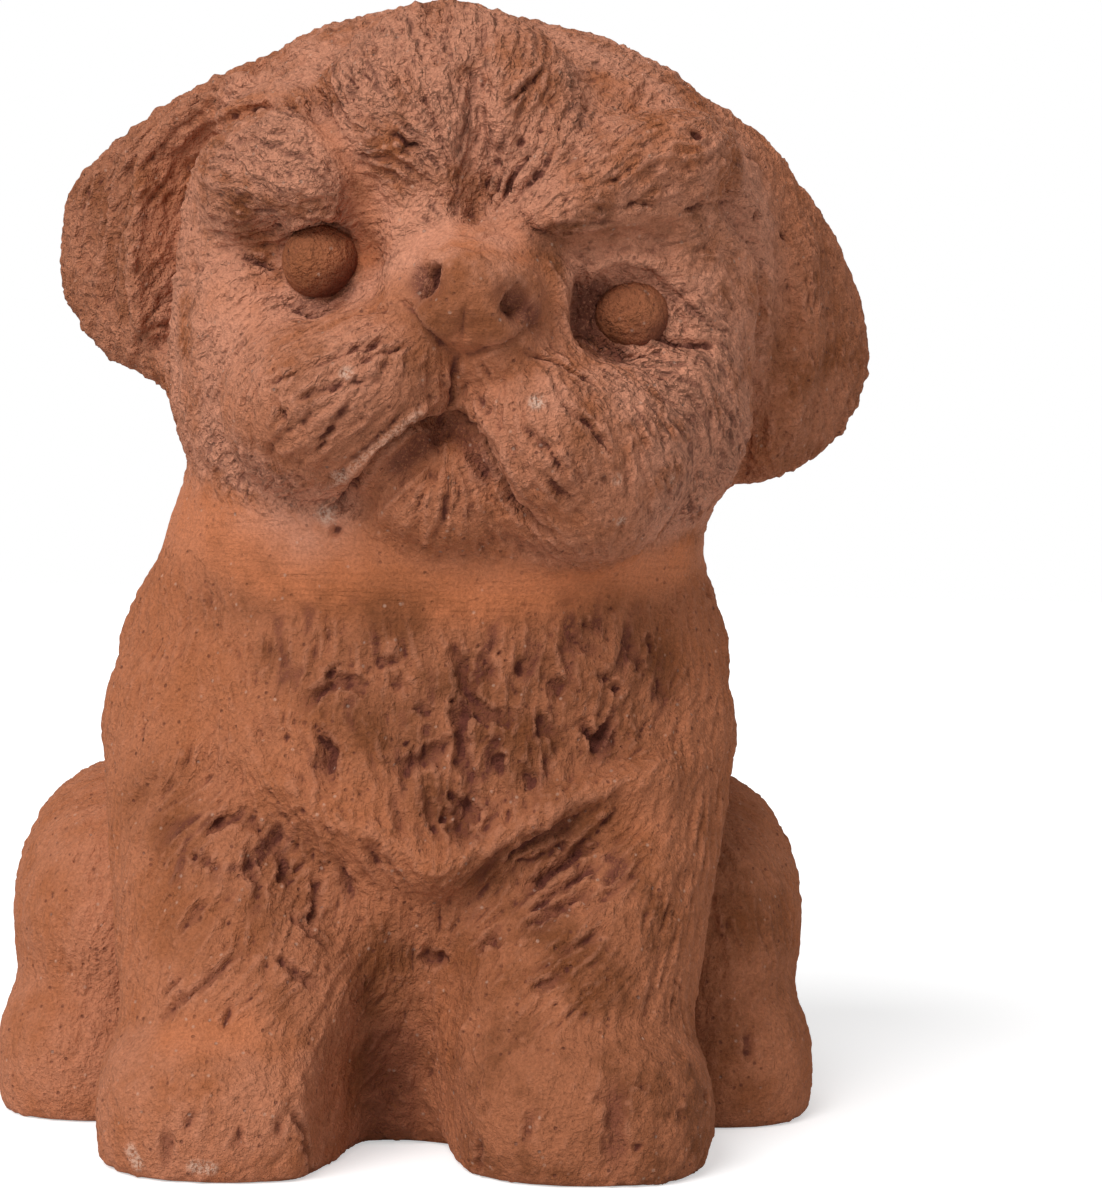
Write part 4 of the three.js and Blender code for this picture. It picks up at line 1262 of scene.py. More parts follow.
class PUPPY_OT_clay_blank(bpy.types.Operator):
    """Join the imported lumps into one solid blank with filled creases"""

    bl_idname = "puppy.clay_blank"
    bl_label = "Join the clay blank"

    def execute(self, context):
        sizes = clay_sizes()
        joined = bmesh.new()
        loose = bpy.data.meshes.new("loose_lump")
        for name in JOINED_PIECES:
            form = lump_form(name)
            swell_lump(form, sizes.lump_swell)
            form.to_mesh(loose)
            form.free()
            joined.from_mesh(loose)
        self.plug_head(joined)
        self.plug_sockets(joined)
        self.web_paws(joined)
        joined.to_mesh(loose)
        joined.free()
        loose.name = BLANK_NAME
        blank = bpy.data.objects.new(BLANK_NAME, loose)
        context.scene.collection.objects.link(blank)
        even_out(blank, sizes.coarse_grid)
        keep_outer_skin(blank)
        skin = Skin(blank.data)
        lute_creases(skin, sizes.luting_rounds)
        skin.place(skin.soften(skin.points, BLANK_ROUNDS))
        wipe_neck(skin, sizes.neck_rounds)
        return {"FINISHED"}

    def plug_head(self, joined):
        """Fill the hollow of the head with a round core."""
        low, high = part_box("head_shell")
        middle = (low + high) / 2
        half = (high - low) / 2
        size = Matrix.Diagonal((*(side * HEAD_CORE_SHARE for side in half), 1.0))
        place = Matrix.Translation(middle) @ size
        bmesh.ops.create_icosphere(joined, subdivisions=PLUG_SUBDIVISIONS, radius=1.0, matrix=place)

    def plug_sockets(self, joined):
        """Fill the sockets, which are dished anew round the balls."""
        for name in EYE_PIECES:
            low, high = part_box(name)
            middle = (low + high) / 2 + Vector((0.0, SOCKET_PLUG_DEPTH, 0.0))
            place = Matrix.Translation(middle)
            bmesh.ops.create_icosphere(
                joined, subdivisions=PLUG_SUBDIVISIONS, radius=SOCKET_PLUG_RADIUS, matrix=place
            )

    def web_paws(self, joined):
        """Fill the gap between the forepaws with a web of clay."""
        rise = Vector((0.0, 0.0, PAW_WEB_HEIGHT / 2))
        size = Matrix.Diagonal((PAW_WEB_HALF_WIDTH, PAW_WEB_HALF_DEPTH, PAW_WEB_HEIGHT, 1.0))
        bmesh.ops.create_cone(
            joined,
            cap_ends=True,
            cap_tris=True,
            segments=PAW_WEB_SEGMENTS,
            radius1=1.0,
            radius2=PAW_WEB_TOP_SHARE,
            depth=1.0,
            matrix=Matrix.Translation(PAW_WEB_FOOT + rise) @ size,
        )


class PUPPY_OT_tool_marks(bpy.types.Operator):
    """Thumb the soft forms and cut the creases of the face, chest, legs and paws"""

    bl_idname = "puppy.tool_marks"
    bl_label = "Tool the face and body"

    def execute(self, context):
        sizes = clay_sizes()
        blank = blank_object()
        skin = Skin(blank.data)
        blended = place_mask(blank, skin, BLENDED_PLACES)
        skin.blend_to(skin.soften(skin.points, sizes.blending_rounds), blended)
        thumb_forms(blank, skin, THUMBED_FORMS)
        open_notch(skin)
        even_out(blank, sizes.fine_grid)
        keep_outer_skin(blank)
        skin = Skin(blank.data)
        skin.place(skin.soften(skin.points, BLANK_ROUNDS))
        owners = settle_owners(skin, nearest_pieces(skin), OWNER_ROUNDS)
        skin.store("owner", owners.astype(np.float64))
        face_cut = cut_marks(blank, skin, FACE_CUTS, FACE_KNIFE)
        face_cut = np.maximum(face_cut, cut_marks(blank, skin, FACE_GROOVES, FACE_COMB))
        body_cut = cut_marks(blank, skin, BODY_CUTS, BODY_GOUGE)
        # Painted shade in the eye pits, the nostrils, the mouth, the ear groove and between the legs
        hollow_shade = place_mask(blank, skin, PAINTED_SHADE_HOLLOWS, HOLLOW_SHADE_ROUNDS)
        # Cuts are darkened by their depth: dirt and painted shade
        dent_shade_and_dirt_mask = np.clip((FACE_CUT_SHARE * face_cut + body_cut) / CUT_SHADE_AND_DIRT_DEPTH, 0.0, 1.0)
        skin.store("blot", np.maximum(dent_shade_and_dirt_mask, HOLLOW_SHADE_GAIN * hollow_shade))
        wiped = place_mask(blank, skin, WIPED_PLACES)
        neck = piece_share(skin, owners, {"neck_coil": NECK_WIPED_SHARE}, NECK_WIPED_ROUNDS)
        skin.store("wiped", skin.soften(np.maximum(wiped, neck), WIPED_ROUNDS))
        # The stain mask carries real stains and painted shade alike
        skin.store("stain", place_mask(blank, skin, STAIN_AND_SHADE_PLACES, STAIN_AND_SHADE_ROUNDS))
        skin.store("tufted", place_mask(blank, skin, TUFTED_PLACES, TUFT_ROUNDS))
        skin.store("pale", place_mask(blank, skin, DUST_AND_LIGHT_PLACES, PALE_ROUNDS))
        skin.store("lime", place_mask(blank, skin, LIME_SPECKS))
        return {"FINISHED"}


class PUPPY_OT_comb_fur(bpy.types.Operator):
    """Comb the fur, prick the pits and keep what the finish reads from the surface"""

    bl_idname = "puppy.comb_fur"
    bl_label = "Comb the fur"

    def execute(self, context):
        sizes = clay_sizes()
        blank = blank_object()
        skin = Skin(blank.data)
        owners = skin.kept("owner").astype(np.int32)
        tufted = skin.kept("tufted")
        bare = 1.0 - WIPED_HOLD * skin.kept("wiped")
        flow = fur_flow(blank, skin, owners)
        fur = {name: surface.fur for name, surface in SURFACES.items()}
        crumb = {name: surface.crumb for name, surface in SURFACES.items()}
        dust = {name: surface.dust for name, surface in SURFACES.items()}
        share = piece_share(skin, owners, fur, SURFACE_ROUNDS) * bare
        patches = np.clip(PATCH_MIDDLE + layered_noise(skin, FUR_PATCHES), *PATCH_LIMITS)
        cut = comb_strokes(skin, flow, share * patches + TUFT_STROKES * tufted, tufted, sizes)
        streaks = streaked_noise(skin, flow, FURROW_STREAK)
        sunk = streaked_noise(skin, flow, BLOT_STREAK) + BLOT_FURROWS * streaks
        sunk = np.clip((sunk - BLOT_START) / BLOT_RISE, 0.0, 1.0) * np.clip(tufted * BLOT_TUFTS, 0.0, 1.0)
        sunk *= falling(skin.points[:, 2], BLOT_TOP, BLOT_FADE)
        crumbly = piece_share(skin, owners, crumb, SURFACE_ROUNDS) * bare
        furrows = streaks * np.minimum(share + TUFT_FURROWS * tufted, FURROW_LIMIT) * sizes.furrow_depth
        skin.raise_by(wavering_hand(skin, crumbly, sizes) + furrows - cut - sunk * sizes.blot_depth)
        # Torn places and the earlier cuts stay darkened: dirt and painted shade
        skin.store("blot", np.maximum(sunk, OLD_DENT_SHADE_AND_DIRT_SHARE * skin.kept("blot")))
        skin.store("crumb", crumbly)
        # Dust, with painted light on some pieces and places
        skin.store("dust", piece_share(skin, owners, dust, DUST_AND_LIGHT_ROUNDS) + skin.kept("pale"))
        lie = surface_direction(skin, flow)
        skin.store("flow", lie)
        skin.store("across", np.cross(skin.normals, lie))
        skin.store("fur", share)
        skin.store("streak", streaked_noise(skin, flow, FINE_STREAK))
        skin.store("fine_hollow", skin.hollowness(FINE_HOLLOW_ROUNDS) / FINE_HOLLOW_DEPTH)
        skin.store("broad_hollow", skin.hollowness(BROAD_HOLLOW_ROUNDS) / BROAD_HOLLOW_DEPTH)
        skin.store("whole_normal", skin.normals)
        return {"FINISHED"}


class PUPPY_OT_part_blank(bpy.types.Operator):
    """Part the tooled clay into its pieces again"""

    bl_idname = "puppy.part_blank"
    bl_label = "Part the clay"

    def execute(self, context):
        blank = blank_object()
        mesh = blank.data
        owners = Skin(mesh).kept("owner").astype(np.int32)
        for name in JOINED_PIECES:
            mesh.materials.append(bpy.data.materials.new(PART_PREFIX + name))
        corners = read_values(mesh.loops, "vertex_index", len(mesh.loops), np.int32)
        totals = read_values(mesh.polygons, "loop_total", len(mesh.polygons), np.int32)
        shares = np.zeros((len(mesh.polygons), len(JOINED_PIECES)), dtype=np.int8)
        faces = np.repeat(np.arange(len(mesh.polygons)), totals)
        np.add.at(shares, (faces, owners[corners]), 1)
        mesh.polygons.foreach_set("material_index", shares.argmax(axis=1).astype(np.int32))
        mesh.update()
        bpy.ops.object.select_all(action="DESELECT")
        blank.select_set(True)
        context.view_layer.objects.active = blank
        bpy.ops.mesh.separate(type="MATERIAL")
        for part in list(context.scene.objects):
            if part.type != "MESH" or not part.material_slots:
                continue
            material = part.material_slots[0].material
            if material is not None and material.name.startswith(PART_PREFIX):
                part.name = material.name
                part.data.name = material.name
        return {"FINISHED"}


def only(kind, items):
    """The items of one kind."""
    return [item for item in items if isinstance(item, kind)]


def open_edges(form):
    """The edges that have a face on one side only."""
    return [edge for edge in form.edges if edge.is_boundary]


def part_touching_corners(form):
    """Part the corners where two stretches of an open edge touch."""
    for corner in list(form.verts):
        rim = [edge for edge in corner.link_edges if edge.is_boundary]
        if len(rim) > 2:
            bmesh.utils.vert_separate(corner, rim)


def extrude_rim(form, rim, inner):
    """Draw an open edge out by one row of inner faces, and give back what was made."""
    made = bmesh.ops.extrude_edge_only(form, edges=rim)["geom"]
    for face in only(bmesh.types.BMFace, made):
        face[inner] = 1
    return made


def close_rim(form, rim, inner):
    """Close an open edge with inner faces."""
    caps = bmesh.ops.holes_fill(form, edges=rim, sides=0)["faces"]
    for cap in caps:
        cap[inner] = 1
    bmesh.ops.triangulate(form, faces=caps, quad_method="BEAUTY", ngon_method="EAR_CLIP")


def close_part(mesh, depth, core, pull):
    """Turn the open edge of a part in under the surface, draw it on towards the core and close it there."""
    form = bmesh.new()
    form.from_mesh(mesh)
    bmesh.ops.remove_doubles(form, verts=form.verts, dist=PART_DOUBLES_REACH)
    inner = form.faces.layers.int.new("inner")
    normals = form.verts.layers.float_vector["whole_normal"]
    part_touching_corners(form)
    rim = open_edges(form)
    if rim:
        for inward, drawn in ((depth, 0.0), (0.0, pull)):
            made = extrude_rim(form, rim, inner)
            for corner in only(bmesh.types.BMVert, made):
                goal = Vector((core.x, core.y, core.z if core.z > 0.0 else corner.co.z))
                corner.co += (goal - corner.co) * drawn - Vector(corner[normals]) * inward
                corner.co.z = max(corner.co.z, 0.0)
            rim = open_edges(form)
        close_rim(form, rim, inner)
    return form


def keep_whole_normals(mesh):
    """Shade the outside as the whole clay was, so that no seam shows between the parts."""
    layers = mesh.attributes
    normals = read_values(layers["whole_normal"].data, "vector", len(mesh.vertices) * 3).reshape(-1, 3)
    corners = read_values(mesh.loops, "vertex_index", len(mesh.loops), np.int32)
    inner = read_values(layers["inner"].data, "value", len(mesh.polygons), np.int32)
    totals = read_values(mesh.polygons, "loop_total", len(mesh.polygons), np.int32)
    chosen = normals[corners]
    chosen[np.repeat(inner, totals) == 1] = 0.0
    mesh.shade_smooth()
    mesh.normals_split_custom_set(chosen.tolist())
    for name in ("whole_normal", "inner", "owner"):
        layer = mesh.attributes.get(name)
        if layer is not None:
            mesh.attributes.remove(layer)


def draw_up_hollow(form):
    """Open the flat base of the torso and draw its hollow up inside, ring by ring."""
    middle_x = HOLLOW_MIDDLE_X * MM
    _, half_x, half_y, middle_y = (size * MM for size in HOLLOW_RINGS[0])
    doomed = []
    for face in form.faces:
        place = face.calc_center_median()
        away = math.hypot((place.x - middle_x) / half_x, (place.y - middle_y) / half_y)
        if place.z < FLAT_BASE_HEIGHT and away < 1.0:
            doomed.append(face)
    if not doomed:
        raise RuntimeError("the torso has no flat base to open")
    bmesh.ops.delete(form, geom=doomed, context="FACES")
    rim = open_edges(form)
    inner = form.faces.layers.int["inner"]
    angles = {}
    for corner in {corner for edge in rim for corner in edge.verts}:
        turn = math.atan2((corner.co.y - middle_y) / half_y, (corner.co.x - middle_x) / half_x)
        angles[corner] = turn
        corner.co = (middle_x + half_x * math.cos(turn), middle_y + half_y * math.sin(turn), 0.0)
    for ring in HOLLOW_RINGS[1:]:
        height, half_x, half_y, middle_y = (size * MM for size in ring)
        made = extrude_rim(form, rim, inner)
        for corner in only(bmesh.types.BMVert, made):
            below = [edge.other_vert(corner) for edge in corner.link_edges]
            turn = next(angles[other] for other in below if other in angles)
            corner.co = (middle_x + half_x * math.cos(turn), middle_y + half_y * math.sin(turn), height)
            angles[corner] = turn
        rim = [edge for edge in only(bmesh.types.BMEdge, made) if edge.is_boundary]
    close_rim(form, rim, inner)


def finish_part(name, material):
    """Close a part, shade it as the whole clay was, and give it its body, its node and its finish."""
    part = bpy.data.objects.get(PART_PREFIX + name)
    if part is None:
        raise RuntimeError("the clay has no part for " + name)
    of_head = name in HEAD_PIECES + EAR_PIECES
    low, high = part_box("head_shell" if of_head else "torso_shell")
    core = (low + high) / 2
    if not of_head:
        core.z = 0.0
    pull = HEAD_PULL if name == "head_shell" else PART_PULL
    form = close_part(part.data, clay_sizes().seam_depth, core, pull)
    if name == "torso_shell":
        draw_up_hollow(form)
    form.to_mesh(part.data)
    form.free()
    keep_whole_normals(part.data)
    part.data.materials.clear()
    part.data.materials.append(material)
    settle_piece(part, name)


def finish_parts(names):
    """Finish a group of like pieces."""
    for name in names:
        finish_part(name, clay_finish(name))


def settle_piece(piece, name):
    """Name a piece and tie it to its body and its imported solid."""
    piece.name = name + "_clay"
    piece.data.name = piece.name
    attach(piece, "root")
    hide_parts(name)


class Wiring:
    """Places nodes in one tree and joins them up."""

    def __init__(self, tree):
        self.tree = tree
        tree.nodes.clear()

    def node(self, kind, inputs=None, **settings):
        """One node, with its settings made and its inputs fed."""
        made = self.tree.nodes.new(kind)
        for name, value in settings.items():
            setattr(made, name, value)
        for key, value in (inputs or {}).items():
            self.feed(made.inputs[key], value)
        return made

    def feed(self, socket, value):
        """Link a socket, or set its value."""
        if isinstance(value, bpy.types.NodeSocket):
            self.tree.links.new(value, socket)
        else:
            socket.default_value = value

    def math(self, operation, first, second=0.0):
        """The result of one sum."""
        return self.node("ShaderNodeMath", {0: first, 1: second}, operation=operation).outputs[0]

    def times(self, first, second):
        """Two values multiplied."""
        return self.math("MULTIPLY", first, second)

    def plus(self, first, second):
        """Two values added."""
        return self.math("ADD", first, second)

    def minus(self, first, second):
        """One value less another."""
        return self.math("SUBTRACT", first, second)

    def over(self, first, second):
        """One value divided by another."""
        return self.math("DIVIDE", first, second)

    def most(self, *values):
        """The greatest of some values."""
        greatest = values[0]
        for value in values[1:]:
            greatest = self.math("MAXIMUM", greatest, value)
        return greatest

    def vector(self, operation, first, second, output="Vector"):
        """The result of one vector sum."""
        made = self.node("ShaderNodeVectorMath", {0: first, 1: second}, operation=operation)
        return made.outputs[output]

    def fade(self, value, low, high, start=0.0, end=1.0):
        """A smooth step of a value between two limits."""
        inputs = {"Value": value, "From Min": low, "From Max": high, "To Min": start, "To Max": end}
        return self.node("ShaderNodeMapRange", inputs, interpolation_type="SMOOTHSTEP").outputs["Result"]

    def blend(self, share, first, second, kind="MIX"):
        """Two colours mixed."""
        made = self.node("ShaderNodeMix", data_type="RGBA", blend_type=kind)
        self.feed(made.inputs[0], share)
        self.feed(made.inputs[6], first)
        self.feed(made.inputs[7], second)
        return made.outputs[2]

    def attribute(self, name, output="Fac"):
        """Values kept on the surface."""
        return self.node("ShaderNodeAttribute", attribute_name=name).outputs[output]

    def clouds(self, place, scale, detail, roughness=0.5):
        """Smooth noise, 0 to 1."""
        inputs = {"Vector": place, "Scale": scale, "Detail": detail, "Roughness": roughness}
        return self.node("ShaderNodeTexNoise", inputs, noise_dimensions="3D").outputs[0]

    def cells(self, place, scale):
        """Cells round scattered points: the point's place, its distance, and the chances of its cell."""
        inputs = {"Vector": place, "Scale": scale}
        made = self.node("ShaderNodeTexVoronoi", inputs, voronoi_dimensions="3D", feature="F1").outputs
        chances = self.node("ShaderNodeSeparateColor", {0: made["Color"]}).outputs
        return made["Position"], made["Distance"], chances

    def group(self, name, inputs):
        """A node group with its inputs fed."""
        made = self.node("ShaderNodeGroup", node_tree=bpy.data.node_groups[name])
        for key, value in inputs.items():
            self.feed(made.inputs[key], value)
        return made.outputs

    def seen_rays(self):
        """1 for the rays that show a surface to the camera, straight or by a mirror or glass."""
        rays = self.node("ShaderNodeLightPath").outputs
        return self.most(rays["Is Camera Ray"], rays["Is Glossy Ray"], rays["Is Transmission Ray"])


FLOAT = "NodeSocketFloat"
VECTOR = "NodeSocketVector"
COLOUR = "NodeSocketColor"


def new_group(name, inputs, outputs):
    """An empty node group with its sockets: its wiring, its inputs and its end."""
    group = bpy.data.node_groups.new(name, "ShaderNodeTree")
    for label, kind in inputs:
        group.interface.new_socket(label, in_out="INPUT", socket_type=kind)
    for label, kind in outputs:
        group.interface.new_socket(label, in_out="OUTPUT", socket_type=kind)
    wiring = Wiring(group)
    start = wiring.node("NodeGroupInput").outputs
    end = wiring.node("NodeGroupOutput").inputs
    return wiring, start, end


def fur_stroke_group():
    """One short stroke in each cell of the clay, laid along the lie of the fur."""
    inputs = [(name, VECTOR) for name in ("place", "lie", "across")]
    inputs += [(name, FLOAT) for name in ("cell", "length", "width", "waver")]
    wiring, start, end = new_group("fur_strokes", inputs, (("stroke", FLOAT),))
    middle, _, chance = wiring.cells(start["place"], wiring.over(1.0, start["cell"]))
    local = wiring.vector("SUBTRACT", start["place"], middle)
    along = wiring.vector("DOT_PRODUCT", local, start["lie"], "Value")
    aside = wiring.vector("DOT_PRODUCT", local, start["across"], "Value")
    turn = wiring.times(wiring.minus(chance[0], 0.5), start["waver"])
    leaning = wiring.plus(aside, wiring.times(along, turn))
    narrow = wiring.over(wiring.math("ABSOLUTE", leaning), wiring.times(start["width"], start["cell"]))
    long = wiring.over(wiring.math("ABSOLUTE", along), wiring.times(start["length"], start["cell"]))
    body = wiring.times(wiring.fade(narrow, 0.15, 1.0, 1.0, 0.0), wiring.fade(long, 0.4, 1.0, 1.0, 0.0))
    present = wiring.fade(chance[1], 0.12, 0.4)
    wiring.feed(end["stroke"], wiring.times(body, present))


def clay_grain_group():
    """Coarse fired clay: uneven grain, crumbs, small dark pits and pale grains of grog."""
    outputs = [(name, FLOAT) for name in ("grain", "crumbs", "pits", "grog")]
    wiring, start, end = new_group("clay_grain", (("place", VECTOR), ("size", FLOAT)), outputs)
    scale = wiring.over(1.0, start["size"])
    _, distance, chance = wiring.cells(start["place"], wiring.times(scale, 0.45))
    near = wiring.fade(distance, 0.12, 0.34, 1.0, 0.0)
    wiring.feed(end["grain"], wiring.clouds(start["place"], scale, 3.0, 0.65))
    wiring.feed(end["crumbs"], wiring.clouds(start["place"], wiring.times(scale, 0.42), 3.0, 0.65))
    wiring.feed(end["pits"], wiring.times(near, wiring.fade(chance[0], 0.8, 0.92)))
    wiring.feed(end["grog"], wiring.times(near, wiring.fade(chance[1], 0.9, 0.97)))


def patina_and_painted_light_group():
    """The colour of fired clay by its hollows and dents, darkened as dirt and painted shade, its dust and
    painted light, its stains and painted shade, its wiped places and its specks.
    """
    inputs = [(name + "_colour", COLOUR) for name in PATINA_COLOURS]
    inputs += [(name, FLOAT) for name in PATINA_VALUES + PATINA_MASKS]
    wiring, start, end = new_group("clay_patina", inputs, (("colour", COLOUR), ("roughness", FLOAT)))
    calm = wiring.minus(1.0, wiring.times(start["wiped"], 0.7))
    # Stains and painted shade darken the clay towards the stained colour
    clouded = wiring.times(start["stain"], wiring.fade(start["cloud"], 0.62, 0.36))
    stained = wiring.plus(wiring.times(start["stain"], 0.35), wiring.times(clouded, 0.65))
    # Wiped places take the wiped colour, whose lightness is partly painted light
    plain = wiring.blend(wiring.times(start["wiped"], 0.75), start["clay_colour"], start["wiped_colour"])
    plain = wiring.blend(stained, plain, start["stained_colour"])
    # Dust and painted light pale the clay, and raised edges are made paler too
    dusty = wiring.times(wiring.fade(start["cloud"], 0.28, 0.62), start["dust"])
    plain = wiring.blend(wiring.times(dusty, calm), plain, start["dusty_colour"])
    chalky = wiring.plus(wiring.times(start["dust"], 0.55), 0.12)
    edges = wiring.times(wiring.fade(start["fine_hollow"], -0.1, -1.0), chalky)
    plain = wiring.blend(wiring.times(edges, calm), plain, start["dusty_colour"])
    # Hollows, strokes, streaks, crumbs, dents and pits darken towards the recess colour: dirt and painted
    # shade
    deep = wiring.fade(start["fine_hollow"], 0.2, 1.8)
    broad = wiring.times(wiring.fade(start["broad_hollow"], 0.25, 2.2), 0.8)
    stroke_shade_and_dirt = wiring.times(start["strokes"], 0.04)
    streaked = wiring.times(wiring.fade(start["streak"], -0.12, -0.42), 0.62)
    crevice = wiring.times(wiring.fade(start["crumbs"], 0.42, 0.3), 0.35)
    dent_shade_and_dirt_mask = wiring.times(wiring.times(start["blot"], wiring.fade(start["grain"], 0.34, 0.5)), 0.9)
    pitted = wiring.times(wiring.times(start["pits"], 0.7), calm)
    dark = wiring.most(deep, broad, stroke_shade_and_dirt, streaked, crevice, dent_shade_and_dirt_mask, pitted)
    worked = wiring.blend(wiring.times(dark, 0.88), plain, start["recess_colour"])
    worked = wiring.blend(wiring.times(start["grog"], 0.35), worked, start["lime_colour"])
    chalk = wiring.times(start["lime"], wiring.fade(start["grain"], 0.38, 0.56))
    worked = wiring.blend(wiring.times(chalk, 0.8), worked, start["lime_colour"])
    shade = wiring.fade(start["grain"], 0.3, 0.7, 0.84, 1.14)
    tint = wiring.node("ShaderNodeCombineColor", {0: shade, 1: shade, 2: shade}).outputs[0]
    wiring.feed(end["colour"], wiring.blend(1.0, worked, tint, "MULTIPLY"))
    wiring.feed(end["roughness"], wiring.fade(start["wiped"], 0.0, 1.0, 0.95, 0.8))


def fine_strokes(wiring, place):
    """The layers of fine strokes, each in cells of its own size."""
    lie = wiring.attribute("flow", "Vector")
    across = wiring.attribute("across", "Vector")
    layers = []
    for cell, length, width, shift in STROKE_LAYERS:
        values = {
            "place": wiring.vector("ADD", place, (shift, shift, shift)),
            "lie": lie,
            "across": across,
            "cell": cell,
            "length": length,
            "width": width,
            "waver": STROKE_WAVER,
        }
        layers.append(wiring.group("fur_strokes", values)["stroke"])
    return wiring.most(*layers)


def terracotta_material(name, specular):
    """Fired clay with its fur strokes, its grain, and its patina with painted shade and light."""
    colours = bpy.context.scene.puppy_colours
    material = bpy.data.materials.new(name)
    material.use_nodes = True
    wiring = Wiring(material.node_tree)
    place = wiring.node("ShaderNodeTexCoord").outputs["Object"]
    fur = wiring.attribute("fur")
    values = {key: wiring.attribute(key) for key in PATINA_VALUES}
    cloud = wiring.clouds(place, 1.0 / CLOUD_SIZE, 3.0, 0.6)
    patch = wiring.clouds(place, 1.0 / PATCH_SIZE, 2.0, 0.6)
    bold = wiring.plus(wiring.times(values["dust"], 0.9), 0.35)
    strength = wiring.times(wiring.math("MINIMUM", fur, 1.1), wiring.fade(patch, 0.4, 0.6, 0.15, 1.0))
    strokes = wiring.times(fine_strokes(wiring, place), wiring.times(strength, bold))
    streak = wiring.times(wiring.attribute("streak"), wiring.times(fur, bold))
    grain = wiring.group("clay_grain", {"place": place, "size": GRAIN_SIZE})
    crumbs = wiring.times(wiring.minus(grain["crumbs"], 0.5), wiring.attribute("crumb"))
    masks = {
        "strokes": strokes,
        "streak": streak,
        "pits": grain["pits"],
        "grog": grain["grog"],
        "cloud": cloud,
        "grain": grain["grain"],
        "crumbs": wiring.plus(crumbs, 0.5),
    }
    tones = {key + "_colour": (*getattr(colours, key), 1.0) for key in PATINA_COLOURS}
    patina = wiring.group("clay_patina", {**tones, **values, **masks})
    wipe_place = wiring.vector("MULTIPLY", place, WIPE_STREAK_SHAPE)
    wipes = wiring.times(wiring.clouds(wipe_place, 1.0 / WIPE_STREAK_SIZE, 2.0), values["wiped"])
    height = wiring.plus(grain["grain"], wiring.times(crumbs, 4.2))
    height = wiring.plus(height, wiring.times(wipes, 1.5))
    height = wiring.minus(height, wiring.times(strokes, 0.55))
    height = wiring.plus(height, wiring.times(streak, 3.6))
    height = wiring.minus(height, wiring.times(grain["pits"], 0.5))
    bump = wiring.node("ShaderNodeBump", {"Strength": 1.0, "Distance": RELIEF_DEPTH, "Height": height})
    surface = {
        "Base Color": patina["colour"],
        "Roughness": patina["roughness"],
        "Normal": bump.outputs["Normal"],
        "Specular IOR Level": specular,
    }
    shader = wiring.node("ShaderNodeBsdfPrincipled", surface)
    wiring.node("ShaderNodeOutputMaterial", {"Surface": shader.outputs[0]})
    return material


def clay_finish(name):
    """The finish of a piece, made on its first use."""
    wiped = name in WIPED_PIECES
    label = "wiped_clay" if wiped else "combed_clay"
    found = bpy.data.materials.get(label)
    if found is not None:
        return found
    if bpy.data.node_groups.get("fur_strokes") is None:
        fur_stroke_group()
        clay_grain_group()
        patina_and_painted_light_group()
    return terracotta_material(label, WIPED_SPECULAR if wiped else COMBED_SPECULAR)


class PUPPY_OT_body(bpy.types.Operator):
    """Finish the torso and the coil of the neck, and open the hollow of the base"""

    bl_idname = "puppy.body"
    bl_label = "Body and neck"

    def execute(self, context):
        finish_parts(BODY_PIECES)
        return {"FINISHED"}


class PUPPY_OT_head(bpy.types.Operator):
    """Finish the head with its brows, forelock, nose, flews and chin"""

    bl_idname = "puppy.head"
    bl_label = "Head and face"

    def execute(self, context):
        finish_parts(HEAD_PIECES)
        return {"FINISHED"}


class PUPPY_OT_ears(bpy.types.Operator):
    """Finish the two drop ears"""

    bl_idname = "puppy.ears"
    bl_label = "Ears"

    def execute(self, context):
        finish_parts(EAR_PIECES)
        return {"FINISHED"}


class PUPPY_OT_forelimbs(bpy.types.Operator):
    """Finish the forelegs and their paws"""

    bl_idname = "puppy.forelimbs"
    bl_label = "Forelegs and paws"

    def execute(self, context):
        finish_parts(FORELIMB_PIECES)
        return {"FINISHED"}


class PUPPY_OT_hind_limbs(bpy.types.Operator):
    """Finish the haunches, the hind paws and the tail"""

    bl_idname = "puppy.hind_limbs"
    bl_label = "Hind limbs and tail"

    def execute(self, context):
        finish_parts(HIND_PIECES)
        return {"FINISHED"}


